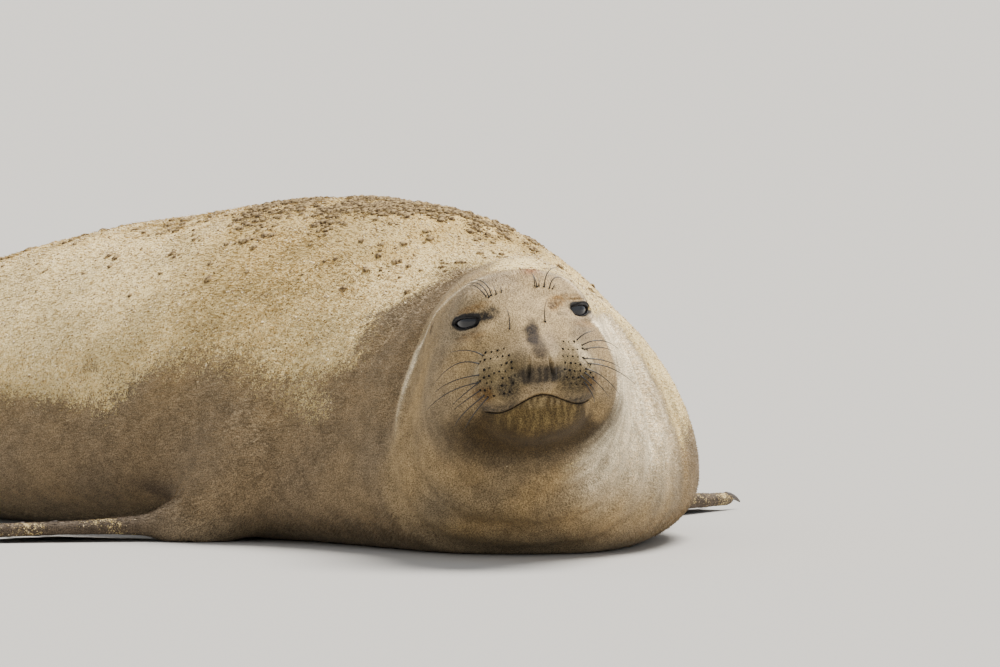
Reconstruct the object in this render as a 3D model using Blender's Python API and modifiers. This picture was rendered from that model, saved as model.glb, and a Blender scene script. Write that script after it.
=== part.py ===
# Elephant seal cow, life size, lying on her belly with the head raised and turned to her right.
# Metres, +Z up. The trunk runs along +Y, the head is at the -Y end, the seal's left side is +X.
# The origin is on the floor, under the middle of the whole animal.

import math

import bmesh
import bpy
import numpy as np
from mathutils import Matrix, Vector

# General sizes
PART = "elephant_seal"
SEAM = 0.0003               # gap between two nodes
FLOOR_TRIM = 0.006          # flesh modelled below the floor, then cut off flat at floor level
VOXEL = 0.0055              # grid of the skin before it is thinned out
SKIN_TRIANGLES = 6000       # whole skin after thinning out

# Spine, as a distance from the nose tip, and its turn to the seal's right
NECK_TURN = math.radians(45.5)
TURN_FROM = 0.195
TURN_TO = 1.190
SPINE_STEP = 0.01
SPINE_END = 3.2
PROFILE_SOFTNESS = 0.16     # length over which the stations below run into each other

# Stations along the spine: distance, half width, top, height of the widest place, underside
TRUNK = (
    (0.15, 0.090, 0.385, 0.250, 0.130),
    (0.24, 0.150, 0.415, 0.165, 0.040),
    (0.32, 0.192, 0.425, 0.115, -0.010),
    (0.45, 0.250, 0.426, 0.100, -0.025),
    (0.62, 0.330, 0.418, 0.100, -0.030),
    (0.80, 0.380, 0.493, 0.120, -0.035),
    (1.00, 0.410, 0.510, 0.135, -0.035),
    (1.25, 0.422, 0.485, 0.142, -0.035),
    (1.50, 0.412, 0.458, 0.140, -0.035),
    (1.75, 0.378, 0.405, 0.135, -0.030),
    (2.00, 0.325, 0.345, 0.127, -0.025),
    (2.20, 0.250, 0.285, 0.117, -0.020),
    (2.40, 0.165, 0.215, 0.102, 0.000),
    (2.52, 0.115, 0.165, 0.095, 0.020),
    (2.60, 0.060, 0.120, 0.085, 0.045),
)
# Soft folds over the neck and shoulders, and rolls under the throat: distance along the spine,
# half length and depth. A depth below 0 is a ridge.
FOLDS = ((0.307, 0.016, -0.005), (0.347, 0.020, 0.015), (0.470, 0.026, 0.006), (0.660, 0.035, 0.007))
THROAT_ROLLS = ((0.215, 0.012, 0.007), (0.262, 0.014, 0.009), (0.320, 0.018, 0.008))
FOLD_LEAN = 0.12            # how much farther back the folds lie higher up
FOLDS_DOWN_TO = (0.10, 0.23)     # heights between which the folds fade out and the rolls come in
TRUNK_FROM = 0.17
TRUNK_TO = 2.58
TRUNK_ROUND = 0.06          # rounding of the two ends
LOFT_POINTS = 36            # points of a ring of the rough trunk
LOFT_STEP = 0.05            # distance between its rings
BACK_POWER = 1.76           # roundness of the back, 2 is an ellipse
FLANK_POWER = 2.4           # fuller below the widest place

# Head: place and turn of its own frame, with x to the seal's left, y forward and z up
EYES_AT = 0.140             # distance along the spine of the middle between the eyes
EYES_HEIGHT = 0.355
HEAD_TURN = math.radians(37.5)
HEAD_TILT = math.radians(6.2)
HEAD_NOD = math.radians(1.5)
HEAD_REACH = 0.55           # farther than this from the eyes the head has no effect
FAR_OFF = 0.2               # distance given for points that a part of the form can't reach
NECK_BLEND = 0.055

# Masses of the head in its own frame: centre, radii and blend with the ones before.
# One with x above 0 is there on both sides.
HEAD_MASSES = (
    ((0.000, -0.100, -0.038), (0.120, 0.165, 0.106), 0.010),
    ((0.000, -0.004, -0.066), (0.098, 0.104, 0.090), 0.045),
    ((0.000, 0.058, -0.086), (0.070, 0.062, 0.046), 0.030),
    ((0.086, -0.040, -0.105), (0.050, 0.080, 0.066), 0.045),
    ((0.000, -0.085, -0.140), (0.118, 0.140, 0.072), 0.050),
    ((0.000, 0.042, -0.141), (0.068, 0.062, 0.036), 0.018),
    ((0.044, -0.018, 0.019), (0.036, 0.046, 0.028), 0.032),
    ((0.051, 0.074, -0.086), (0.038, 0.042, 0.038), 0.020),
    ((0.000, 0.102, -0.070), (0.029, 0.031, 0.025), 0.016),
)
BRIDGE_FROM = (0.0, -0.005, -0.006)
BRIDGE_TO = (0.0, 0.106, -0.056)
BRIDGE_RADII = (0.030, 0.022)
BRIDGE_BLEND = 0.035

# Eyes and lids
EYE_RADIUS = 0.0290
EYE_PLACE = (0.0650, -0.0115, -0.0015)
EYE_OUTWARD = math.radians(44)
EYE_UPWARD = math.radians(5)
LID_THICKNESS = 0.0035
LID_BLEND = 0.007
LID_OPENING = 0.0340        # half length of the opening between the lids, level with the eye's front
LID_ABOVE = 0.0058          # how far the upper lid arches over the line between the corners
LID_BELOW = 0.0100
LID_POINT = 0.1             # share of the opening's size at the eye's own middle
LID_SLANT = math.radians(-6)
ORBIT_OUT = 0.0465           # middle of the hollow round an eye, out from the eye's own middle
ORBIT_RADII = (0.0340, 0.0230, 0.0160)
ORBIT_BLEND = 0.012

# Mouth, nostrils and ears, in the head's frame
MOUTH_MIDDLE = -0.1065
MOUTH_DIP = 0.0220          # how far the line falls on each side of the middle
MOUTH_DIP_AT = 0.062
MOUTH_CORNER = 0.081
MOUTH_UPTURN = 0.004
JAW_UNDER = 0.066           # half width of the jaw under the chin
JAW_BEYOND = 0.004          # how far the jaw goes past the corners of the mouth
JAW_BLOCK = (0.25, 0.30)    # depth of the block that takes the jaw off, and how far down it goes
MOUTH_BACK = 0.020          # where the jaw ends behind the corners
LIP_GROOVE = 0.0022
LIP_GROOVE_END = 0.35       # share of the groove's width that is left at the corners
FACE_DEPTHS = (0.20, -0.20, 401)     # where the face is looked for from the front, and in how many steps
NOSTRIL_PLACE = (0.0165, 0.1270, -0.0670)
NOSTRIL_RADII = (0.0030, 0.0120, 0.0120)
NOSTRIL_SPLAY = math.radians(20)
EAR_PLACE = (0.118, -0.105, -0.012)
EAR_RADII = (0.010, 0.0045, 0.0045)

# Whiskers, a root and a tip radius, and the rows on each pad
WHISKER_ROOT = 0.00115
WHISKER_TIP = 0.00045
WHISKER_SUNK = 0.007
PAD_ROWS = 5
PAD_HAIRS_AT = (0.056, -0.056)   # nearest hair of the top row, across and up from between the eyes
PAD_HAIR_STEP = 0.010
PAD_ROW_STEP = 0.011
PAD_HAIRS_WIDE = 3          # hairs in a row, one fewer in the two lowest rows
PAD_HAIR_LENGTH = (0.048, 0.012, 0.010)     # first hair, and what a row and a place in the row add
PAD_HAIR_RISE = (0.02, -0.16, 0.10)         # how steeply the first hair rises, and the same two steps
PAD_HAIR_BACK = -0.30       # how far back the ends point
PAD_HAIR_DROOP = 0.47       # how much lower the ends point than the roots
BROW_HAIRS = 5
BROW_AT = (0.025, 0.036)
BROW_WIDE = 0.022
BROW_HAIR_LENGTH = 0.034
NOSE_HAIR_AT = (0.026, -0.016)
NOSE_HAIR_LENGTH = 0.030

# Flippers: the wrist or ankle is given by its distance along the spine, side and height
FORE_SHOULDER = (0.80, 0.320, 0.100)
FORE_WRIST = (0.880, 0.392, 0.026)
FORE_SPLAY = math.radians(48)
FORE_DROOP = math.radians(2.5)
FORE_LEAN = math.radians(87)
FORE_DIGITS = ((17, 0.350), (9, 0.345), (1, 0.322), (-8, 0.290), (-17, 0.250))
FORE_DIGIT_RADII = (0.0170, 0.0085)
FORE_WEB = (0.0150, 0.0050)
CLAW_LENGTH = 0.046
CLAW_RADII = (0.0058, 0.0012)
CLAW_FROM = 0.93            # share of the digit's length where its claw starts
CLAW_RISE = 0.006           # how high over the digit's middle it starts, and how far it curves down
CLAW_CURVE = 0.011
HIND_HIP = (2.300, 0.070, 0.105)
HIND_ANKLE = (2.500, 0.078, 0.096)
HIND_SPLAY = math.radians(5)
HIND_DROOP = math.radians(1.5)
HIND_LEAN = math.radians(16)
HIND_DIGITS = ((15, 0.450), (8, 0.405), (2, 0.380), (-5, 0.400), (-12, 0.440))
HIND_DIGIT_RADII = (0.0220, 0.0092)
HIND_WEB = (0.0150, 0.0048)
HIND_CURL = 0.012
FORE_ARM = (0.085, 0.048)
HIND_ARM = (0.078, 0.044)
LIMB_BLEND = 0.045
DIGIT_BLEND = 0.009
WEB_SCALLOP = 0.016
WEB_ROUND = 0.006           # rounding of the web's edges
FAN_BAR_RADII = (0.020, 0.013, 0.010)     # rough bars of a flipper: at the wrist, halfway and at the end
FAN_SCALLOP = 0.07
TAIL_CENTRE = (2.625, 0.088)
TAIL_RADII = (0.036, 0.075, 0.021)
TAIL_BLEND = 0.02

# Where the skin is parted, as distances along the spine
NECK_CUT = 0.375
CHEST_CUT = 0.640
BELLY_CUT = 1.180
HIPS_CUT = 1.760
TAIL_CUT = 2.330
# Boxes that take the flippers off, in each flipper's frame: lowest corner, and highest corner
# with the first value counted from the longest digit's end
FORE_BOX = ((0.060, -0.088, -0.055), (0.10, 0.140, 0.060))
HIND_BOX = ((0.015, -0.22, -0.038), (0.10, 0.26, 0.20))

# How densely the skin is kept by the thinning: 0 is coarse, 1 is fine
DENSITY_HEAD = 1.0
DENSITY_LIMB = 0.55
DENSITY_TRUNK = 0.10
DENSITY_FORCE = 0.05        # weight of these densities against the shape's own detail
HEAD_DENSE_TO = 0.325       # distance along the spine to which the skin is finest
SHARP_ANGLE = math.radians(50)


# Spine

def spine_heading(distance):
    """Angle between the tailward direction and +Y at a distance along the spine."""
    share = np.clip((TURN_TO - distance) / (TURN_TO - TURN_FROM), 0.0, 1.0)
    return NECK_TURN * share * share * (3 - 2 * share)


def spine_table():
    """Distances along the spine with the point and the tailward direction at each."""
    along = np.arange(0.0, SPINE_END + SPINE_STEP, SPINE_STEP)
    heading = spine_heading(along)
    tailward = np.stack([np.sin(heading), np.cos(heading)], axis=1)
    steps = (tailward[1:] + tailward[:-1]) * SPINE_STEP / 2
    place = np.vstack([[0.0, 0.0], np.cumsum(steps, axis=0)])
    at_shoulder = np.array([np.interp(TURN_TO, along, place[:, k]) for k in range(2)])
    return along, place - at_shoulder, tailward


def softened_profile(along):
    """The trunk's stations as smooth curves over the whole spine."""
    stations = np.array(TRUNK)
    half = int(PROFILE_SOFTNESS / SPINE_STEP / 2)
    weights = np.hanning(2 * half + 3)[1:-1]
    weights /= weights.sum()
    curves = []
    for column in range(1, stations.shape[1]):
        line = np.interp(along, stations[:, 0], stations[:, column])
        padded = np.pad(line, half, mode="edge")
        curves.append(np.convolve(padded, weights, mode="valid"))
    return curves


SPINE_S, SPINE_P, SPINE_T = spine_table()
SPINE_BEND = np.gradient(spine_heading(SPINE_S), SPINE_STEP)
PROFILE = softened_profile(SPINE_S)


def spine_point(distance, side=0.0, height=0.0):
    """Point at a distance along the spine, off to the seal's left and above the floor."""
    place = np.array([np.interp(distance, SPINE_S, SPINE_P[:, k]) for k in range(2)])
    tail = spine_direction(distance)
    left = np.array([tail[1], -tail[0]])
    place = place + side * left
    return np.array([place[0], place[1], height])


def spine_direction(distance):
    """Level tailward direction at a distance along the spine."""
    heading = spine_heading(distance)
    return np.array([math.sin(heading), math.cos(heading), 0.0])


def spine_offset(flat, distance):
    """Offset of each point from the spine, the tailward direction there and the offset's left part."""
    place = np.stack([np.interp(distance, SPINE_S, SPINE_P[:, k]) for k in range(2)], axis=1)
    tail = np.stack([np.interp(distance, SPINE_S, SPINE_T[:, k]) for k in range(2)], axis=1)
    offset = flat - place
    return offset, tail, offset[:, 0] * tail[:, 1] - offset[:, 1] * tail[:, 0]


def along_spine(points):
    """Distance along the spine and offset to the seal's left of each point."""
    flat = points[:, :2]
    coarse = SPINE_P[::10]
    gaps = ((flat[:, None, :] - coarse[None, :, :]) ** 2).sum(axis=2)
    distance = SPINE_S[::10][np.argmin(gaps, axis=1)]
    for _ in range(4):
        offset, tail, side = spine_offset(flat, distance)
        bend = np.interp(distance, SPINE_S, SPINE_BEND)
        distance = distance + (offset * tail).sum(axis=1) / np.maximum(1 - bend * side, 0.3)
    return distance, spine_offset(flat, distance)[2]


# Form of the body, as a distance that is negative inside

def smooth_union(first, second, blend):
    """Union of two forms with a soft fillet."""
    share = np.clip(blend - np.abs(first - second), 0.0, None) / blend
    return np.minimum(first, second) - share * share * blend / 4


def smooth_overlap(first, second, blend):
    """Overlap of two forms with a soft edge."""
    return -smooth_union(-first, -second, blend)


def smooth_step(value, low, high):
    """Soft rise from 0 at the low value to 1 at the high one."""
    share = np.clip((value - low) / (high - low), 0.0, 1.0)
    return share * share * (3 - 2 * share)


def ellipsoid_form(points, centre, radii):
    """Distance to an ellipsoid."""
    radii = np.asarray(radii)
    scaled = (points - np.asarray(centre)) / radii
    near = np.linalg.norm(scaled, axis=1)
    slope = np.linalg.norm(scaled / radii, axis=1)
    return near * (near - 1) / np.maximum(slope, 1e-9)


def limb_form(points, start, end, start_radius, end_radius):
    """Distance to a round limb that tapers from one point to another."""
    start = np.asarray(start)
    axis = np.asarray(end) - start
    share = np.clip(((points - start) @ axis) / (axis @ axis), 0.0, 1.0)
    reach = np.linalg.norm(points - start - share[:, None] * axis, axis=1)
    return reach - (start_radius + (end_radius - start_radius) * share)


def trunk_form(points):
    """Distance to the neck and trunk, whose sections follow the stations."""
    distance, side = along_spine(points)
    width, top, middle, under = (np.interp(distance, SPINE_S, curve) for curve in PROFILE)
    rise = points[:, 2] - middle
    tall = np.where(rise > 0, top - middle, middle - under)
    power = np.where(rise > 0, BACK_POWER, FLANK_POWER)
    ratio = (np.abs(side / width) ** power + np.abs(rise / tall) ** power) ** (1 / power)
    reach = np.hypot(side, rise)
    round_wall = reach * (1 - 1 / np.maximum(ratio, 0.05))
    high = smooth_step(points[:, 2], *FOLDS_DOWN_TO)
    for folds, share in ((FOLDS, high), (THROAT_ROLLS, 1 - high)):
        for place, half, depth in folds:
            lean = place + FOLD_LEAN * rise
            round_wall = round_wall + share * depth * np.exp(-((distance - lean) / half) ** 2)
    ends = np.maximum(TRUNK_FROM - distance, distance - TRUNK_TO)
    return smooth_overlap(round_wall, ends, TRUNK_ROUND)


def head_frame():
    """Origin of the head's frame and its axes as columns."""
    forward = np.array([-math.sin(HEAD_TURN), -math.cos(HEAD_TURN), 0.0])
    left = np.array([-forward[1], forward[0], 0.0])
    up = np.array([0.0, 0.0, 1.0])
    rolled_left = math.cos(HEAD_TILT) * left + math.sin(HEAD_TILT) * up
    rolled_up = math.cos(HEAD_TILT) * up - math.sin(HEAD_TILT) * left
    nodded = math.cos(HEAD_NOD) * forward - math.sin(HEAD_NOD) * rolled_up
    crown = math.cos(HEAD_NOD) * rolled_up + math.sin(HEAD_NOD) * forward
    return spine_point(EYES_AT, height=EYES_HEIGHT), np.stack([rolled_left, nodded, crown], axis=1)


HEAD_ORIGIN, HEAD_AXES = head_frame()


def eye_axis(side):
    """Direction in which an eye looks, in the head's frame."""
    level = math.cos(EYE_UPWARD)
    return np.array([side * math.sin(EYE_OUTWARD) * level, math.cos(EYE_OUTWARD) * level,
                     math.sin(EYE_UPWARD)])


def eye_axes(side):
    """Rows: along the lids from the inner to the outer corner, across them, and out of the eye."""
    look = eye_axis(side)
    level = np.cross(np.array([0.0, 0.0, 1.0]), look) * side
    level = -level / np.linalg.norm(level)
    above = np.cross(look, level) * -side
    along = math.cos(LID_SLANT) * level + math.sin(LID_SLANT) * above
    return np.stack([along, np.cross(look, along) * -side, look])


def head_form(points):
    """Distance to the head, without the cuts for eyes, mouth and nostrils."""
    far = np.linalg.norm(points - HEAD_ORIGIN, axis=1) - HEAD_REACH
    whole = np.maximum(far, 0.0) + FAR_OFF
    close = far < 0.0
    if close.any():
        whole[close] = close_head_form(points[close])
    return whole


def close_head_form(points):
    """Distance to the head, for points round about it."""
    local = (points - HEAD_ORIGIN) @ HEAD_AXES
    local[:, 0] = np.abs(local[:, 0])
    form = np.full(len(points), 1.0)
    for centre, radii, blend in HEAD_MASSES:
        form = smooth_union(form, ellipsoid_form(local, centre, radii), blend)
    bridge = limb_form(local, BRIDGE_FROM, BRIDGE_TO, *BRIDGE_RADII)
    form = smooth_union(form, bridge, BRIDGE_BLEND)
    about_eye = (local - np.asarray(EYE_PLACE)) @ eye_axes(1).T
    hollow = ellipsoid_form(about_eye, (0.0, 0.0, ORBIT_OUT), ORBIT_RADII)
    form = smooth_overlap(form, -hollow, ORBIT_BLEND)
    lid_radius = EYE_RADIUS + LID_THICKNESS
    lids = np.linalg.norm(about_eye, axis=1) - lid_radius
    return smooth_union(form, lids, LID_BLEND)


class Flipper:
    """A webbed flipper: a limb out of the body, a palm, five digits and the web between them."""

    def __init__(self, side, root, wrist, arm, splay, droop, lean, digits, digit_radii, web, curl):
        tail = spine_direction(wrist[0])
        left = np.array([tail[1], -tail[0], 0.0])
        plumb = np.array([0.0, 0.0, 1.0])
        self.root = spine_point(root[0], side * root[1], root[2])
        self.wrist = spine_point(wrist[0], side * wrist[1], wrist[2])
        level = math.cos(splay) * tail + side * math.sin(splay) * left
        outward = np.cross(level, plumb) * side
        up = math.cos(droop) * plumb + math.sin(droop) * level
        self.along = math.cos(droop) * level - math.sin(droop) * plumb
        self.across = math.cos(lean) * up + math.sin(lean) * outward
        self.normal = math.cos(lean) * outward - math.sin(lean) * up
        self.arm = arm
        self.angles = np.radians([angle for angle, _ in digits])
        self.lengths = np.array([length for _, length in digits])
        self.digit_radii = digit_radii
        self.web = web
        self.curl = curl

    def local(self, points):
        """Points in the flipper's frame: along, across and out of its plane."""
        offset = points - self.wrist
        along = offset @ self.along
        bend = self.curl * np.clip(along / self.lengths.max(), 0.0, None) ** 2
        return np.stack([along, offset @ self.across, offset @ self.normal - bend], axis=1)

    def world(self, along, across, out=0.0):
        """A point of the flipper's frame in the model's frame."""
        bend = self.curl * max(along / self.lengths.max(), 0.0) ** 2
        return (self.wrist + along * self.along + across * self.across
                + (out + bend) * self.normal)

    def digit_tip(self, index, reach=1.0):
        """Point on a digit's middle line at a share of its length."""
        length = self.lengths[index] * reach
        return self.world(length * math.cos(self.angles[index]), length * math.sin(self.angles[index]))

    def web_form(self, local):
        """Distance to the web, which is cut in between the digits."""
        radius = np.hypot(local[:, 0], local[:, 1])
        angle = np.arctan2(local[:, 1], local[:, 0])
        order = np.argsort(self.angles)
        place = np.interp(angle, self.angles[order], np.arange(len(order)))
        edge = np.interp(angle, self.angles[order], self.lengths[order])
        edge = edge - WEB_SCALLOP * np.sin(math.pi * place) ** 2
        thickness = np.interp(radius / self.lengths.max(), (0.0, 1.0), self.web)
        middle = (self.angles.max() + self.angles.min()) / 2
        spread = (self.angles.max() - self.angles.min()) / 2
        beside = radius * (np.abs(angle - middle) - spread)
        plate = smooth_overlap(radius - edge, np.abs(local[:, 2]) - thickness, WEB_ROUND)
        return smooth_overlap(plate, beside, WEB_ROUND)

    def form(self, points):
        """Distance to the whole flipper."""
        far = np.linalg.norm(points - self.wrist, axis=1) - self.lengths.max() - FAR_OFF
        form = np.maximum(far, 0.0) + FAR_OFF
        close = far < 0.0
        if not close.any():
            return form
        near = points[close]
        local = self.local(near)
        shape = self.web_form(local)
        for angle, length in zip(self.angles, self.lengths):
            tip = (length * math.cos(angle), length * math.sin(angle), 0.0)
            digit = limb_form(local, (0.0, 0.0, 0.0), tip, *self.digit_radii)
            shape = smooth_union(shape, digit, DIGIT_BLEND)
        arm = limb_form(near, self.root, self.wrist, *self.arm)
        form[close] = smooth_union(shape, arm, LIMB_BLEND)
        return form


def make_flippers():
    """The four flippers by node name."""
    flippers = {}
    for word, side in (("left", 1), ("right", -1)):
        flippers["fore_flipper_" + word] = Flipper(
            side, FORE_SHOULDER, FORE_WRIST, FORE_ARM, FORE_SPLAY, FORE_DROOP, FORE_LEAN, FORE_DIGITS,
            FORE_DIGIT_RADII, FORE_WEB, 0.0)
        flippers["hind_flipper_" + word] = Flipper(
            side, HIND_HIP, HIND_ANKLE, HIND_ARM, HIND_SPLAY, HIND_DROOP, HIND_LEAN, HIND_DIGITS,
            HIND_DIGIT_RADII, HIND_WEB, HIND_CURL)
    return flippers


FLIPPERS = make_flippers()


def tail_form(points):
    """Distance to the short tail between the hind flippers."""
    distance, side = along_spine(points)
    flat = np.stack([side, distance, points[:, 2]], axis=1)
    return ellipsoid_form(flat, (0.0, TAIL_CENTRE[0], TAIL_CENTRE[1]), TAIL_RADII)


def seal_form(points):
    """Distance to the whole animal, which ends a little below the floor."""
    form = smooth_union(trunk_form(points), head_form(points), NECK_BLEND)
    for flipper in FLIPPERS.values():
        form = smooth_union(form, flipper.form(points), LIMB_BLEND)
    form = smooth_union(form, tail_form(points), TAIL_BLEND)
    return np.maximum(form, -FLOOR_TRIM - points[:, 2])


def settle_on_form(points, rounds, step=0.0008, reach=0.012):
    """Points moved along the slope of the form until they lie on its surface."""
    points = points.copy()
    for _ in range(rounds):
        value = seal_form(points)
        slope = np.empty_like(points)
        for axis in range(3):
            ahead = points.copy()
            ahead[:, axis] += step
            slope[:, axis] = (seal_form(ahead) - value) / step
        length = np.maximum((slope ** 2).sum(axis=1), 0.05)
        move = -(value / length)[:, None] * slope
        size = np.linalg.norm(move, axis=1)
        points += move * np.minimum(1.0, reach / np.maximum(size, 1e-9))[:, None]
    return points


# Rough body out of simple shapes, gridded and then settled on the form

def add_loft(bm):
    """Neck and trunk as rings of points through the stations, closed at both ends."""
    rings = []
    for distance in np.arange(TRUNK_FROM, TRUNK_TO, LOFT_STEP):
        width, top, middle, under = (np.interp(distance, SPINE_S, curve) for curve in PROFILE)
        ring = []
        for index in range(LOFT_POINTS):
            turn = 2 * math.pi * index / LOFT_POINTS
            rise = math.sin(turn) * (top - middle if math.sin(turn) > 0 else middle - under)
            place = spine_point(distance, width * math.cos(turn), middle + rise)
            ring.append(bm.verts.new(place))
        rings.append(ring)
    for before, after in zip(rings, rings[1:]):
        for index in range(LOFT_POINTS):
            following = (index + 1) % LOFT_POINTS
            bm.faces.new((before[index], after[index], after[following], before[following]))
    bm.faces.new(rings[0])
    bm.faces.new(list(reversed(rings[-1])))


def add_ball(bm, centre, radii, axes, segments=18):
    """An ellipsoid with its centre and axes given in the model's frame."""
    turn = Matrix([list(row) for row in axes]).to_4x4()
    size = Matrix.Diagonal((*radii, 1.0))
    place = Matrix.Translation(Vector([float(value) for value in centre]))
    bmesh.ops.create_uvsphere(bm, u_segments=segments, v_segments=segments * 2 // 3, radius=1.0,
                              matrix=place @ turn @ size)


def add_bar(bm, start, end, start_radius, end_radius):
    """A tapered round bar between two points."""
    start = Vector([float(value) for value in start])
    axis = Vector([float(value) for value in end]) - start
    turn = axis.to_track_quat("Z", "Y").to_matrix().to_4x4()
    place = Matrix.Translation(start + axis / 2) @ turn
    bmesh.ops.create_cone(bm, cap_ends=True, segments=12, radius1=start_radius, radius2=end_radius,
                          depth=axis.length, matrix=place)


def add_fan(bm, flipper):
    """A flipper's arm and a close fan of bars along its digits and between them."""
    add_bar(bm, flipper.root, flipper.wrist, *flipper.arm)
    bars = 4 * len(flipper.angles) - 3
    order = np.argsort(flipper.angles)
    for place in np.linspace(0, len(order) - 1, bars):
        angle = np.interp(place, np.arange(len(order)), flipper.angles[order])
        length = np.interp(place, np.arange(len(order)), flipper.lengths[order])
        length *= 1 - FAN_SCALLOP * math.sin(math.pi * place) ** 2
        stops = [flipper.world(length * share * math.cos(angle), length * share * math.sin(angle))
                 for share in (0.0, 0.5, 1.0)]
        add_bar(bm, stops[0], stops[1], FAN_BAR_RADII[0], FAN_BAR_RADII[1])
        add_bar(bm, stops[1], stops[2], FAN_BAR_RADII[1], FAN_BAR_RADII[2])


def rough_body():
    """All simple shapes as one mesh, still passing through each other."""
    bm = bmesh.new()
    add_loft(bm)
    for centre, radii, _ in HEAD_MASSES:
        for side in (1, -1) if centre[0] > 0 else (1,):
            place = HEAD_ORIGIN + HEAD_AXES @ np.array([side * centre[0], centre[1], centre[2]])
            add_ball(bm, place, radii, HEAD_AXES)
    for side in (1, -1):
        place = HEAD_ORIGIN + HEAD_AXES @ (np.array(EYE_PLACE) * (side, 1, 1))
        add_ball(bm, place, [EYE_RADIUS + LID_THICKNESS] * 3, HEAD_AXES)
    for flipper in FLIPPERS.values():
        add_fan(bm, flipper)
    add_ball(bm, spine_point(TAIL_CENTRE[0], 0.0, TAIL_CENTRE[1]), TAIL_RADII, np.eye(3))
    mesh = bpy.data.meshes.new("skin")
    bm.to_mesh(mesh)
    bm.free()
    return mesh


def read_points(mesh):
    """The mesh's vertices as an array."""
    flat = np.empty(len(mesh.vertices) * 3)
    mesh.vertices.foreach_get("co", flat)
    return flat.reshape(-1, 3)


def apply_modifiers(obj):
    """Give an object its evaluated mesh in place of its modifiers."""
    bpy.context.view_layer.update()
    evaluated = obj.evaluated_get(bpy.context.evaluated_depsgraph_get())
    mesh = bpy.data.meshes.new_from_object(evaluated)
    old = obj.data
    obj.modifiers.clear()
    obj.data = mesh
    bpy.data.meshes.remove(old)


def grid_and_settle(obj, rounds):
    """Remesh a skin on an even grid and lay its points on the form."""
    remesh = obj.modifiers.new("grid", "REMESH")
    remesh.mode = "VOXEL"
    remesh.voxel_size = VOXEL
    apply_modifiers(obj)
    settled = settle_on_form(read_points(obj.data), rounds)
    obj.data.vertices.foreach_set("co", settled.ravel())
    obj.data.update()


def thin_out(obj):
    """Reduce a skin to its number of triangles, finest on the head and then the flippers."""
    points = read_points(obj.data)
    distance, _ = along_spine(points)
    density = np.full(len(points), DENSITY_TRUNK)
    for flipper in FLIPPERS.values():
        density[np.linalg.norm(points - flipper.wrist, axis=1) < flipper.lengths.max()] = DENSITY_LIMB
    density[distance < HEAD_DENSE_TO] = DENSITY_HEAD
    group = obj.vertex_groups.new(name="density")
    for level in (DENSITY_TRUNK, DENSITY_LIMB, DENSITY_HEAD):
        group.add(np.flatnonzero(density == level).tolist(), 1.0 - 0.9 * level, "REPLACE")
    decimate = obj.modifiers.new("thin out", "DECIMATE")
    decimate.ratio = SKIN_TRIANGLES / sum(len(face.vertices) - 2 for face in obj.data.polygons)
    decimate.use_collapse_triangulate = True
    decimate.vertex_group = group.name
    decimate.vertex_group_factor = DENSITY_FORCE
    apply_modifiers(obj)
    obj.vertex_groups.clear()


# Cutting and joining

def new_object(name, mesh, collection):
    """Put a mesh into the scene as a named object."""
    mesh.name = name
    obj = bpy.data.objects.new(name, mesh)
    collection.objects.link(obj)
    return obj


def copied(obj, name, collection):
    """A second object with its own copy of the mesh."""
    return new_object(name, obj.data.copy(), collection)


def keep_largest(obj):
    """Leave only the largest closed surface of an object."""
    bm = bmesh.new()
    bm.from_mesh(obj.data)
    unseen = set(bm.verts)
    shells = []
    while unseen:
        stack = [unseen.pop()]
        shell = set(stack)
        while stack:
            for edge in stack.pop().link_edges:
                for vert in edge.verts:
                    if vert in unseen:
                        unseen.discard(vert)
                        shell.add(vert)
                        stack.append(vert)
        shells.append(shell)
    largest = max(shells, key=len)
    loose = [vert for shell in shells if shell is not largest for vert in shell]
    bmesh.ops.delete(bm, geom=loose, context="VERTS")
    bmesh.ops.triangulate(bm, faces=bm.faces[:])
    bm.to_mesh(obj.data)
    bm.free()


def cut_flat(obj, point, normal):
    """Cut an object on a plane, drop what is on the normal's side and close the cut."""
    bm = bmesh.new()
    bm.from_mesh(obj.data)
    geometry = bm.verts[:] + bm.edges[:] + bm.faces[:]
    bmesh.ops.bisect_plane(bm, geom=geometry, dist=1e-7, plane_co=Vector(point),
                           plane_no=Vector(normal), clear_outer=True)
    rim = [edge for edge in bm.edges if edge.is_boundary]
    bmesh.ops.holes_fill(bm, edges=rim, sides=0)
    bmesh.ops.triangulate(bm, faces=bm.faces[:])
    bm.to_mesh(obj.data)
    bm.free()


def combine(obj, other, operation, solver="EXACT"):
    """Boolean of an object with another object or a collection of them."""
    boolean = obj.modifiers.new("combine", "BOOLEAN")
    boolean.operation = operation
    boolean.solver = solver
    if isinstance(other, bpy.types.Collection):
        boolean.operand_type = "COLLECTION"
        boolean.collection = other
    else:
        boolean.object = other
    apply_modifiers(obj)
    keep_largest(obj)


def remove_object(obj):
    """Take an object and its mesh out of the file."""
    mesh = obj.data
    bpy.data.objects.remove(obj)
    bpy.data.meshes.remove(mesh)


def box_cutter(origin, axes, low, high, grow, cutters):
    """A box cutter between two corners of a turned frame, grown on all sides."""
    bm = bmesh.new()
    size = np.asarray(high) - np.asarray(low) + 2 * grow
    middle = (np.asarray(high) + np.asarray(low)) / 2
    place = np.asarray(origin) + np.asarray(axes).T @ middle
    turn = Matrix([list(row) for row in np.asarray(axes).T]).to_4x4()
    matrix = Matrix.Translation(Vector(place.tolist())) @ turn @ Matrix.Diagonal((*size.tolist(), 1.0))
    bmesh.ops.create_cube(bm, size=1.0, matrix=matrix)
    bmesh.ops.recalc_face_normals(bm, faces=bm.faces[:])
    mesh = bpy.data.meshes.new("box")
    bm.to_mesh(mesh)
    bm.free()
    return new_object("cutter_box", mesh, cutters)


def largest_overlap(obj, cutter, name, collection):
    """A new object from what an object shares with a cutter."""
    piece = copied(obj, name, collection)
    combine(piece, cutter, "INTERSECT")
    return piece


# Parts of the head

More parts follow.
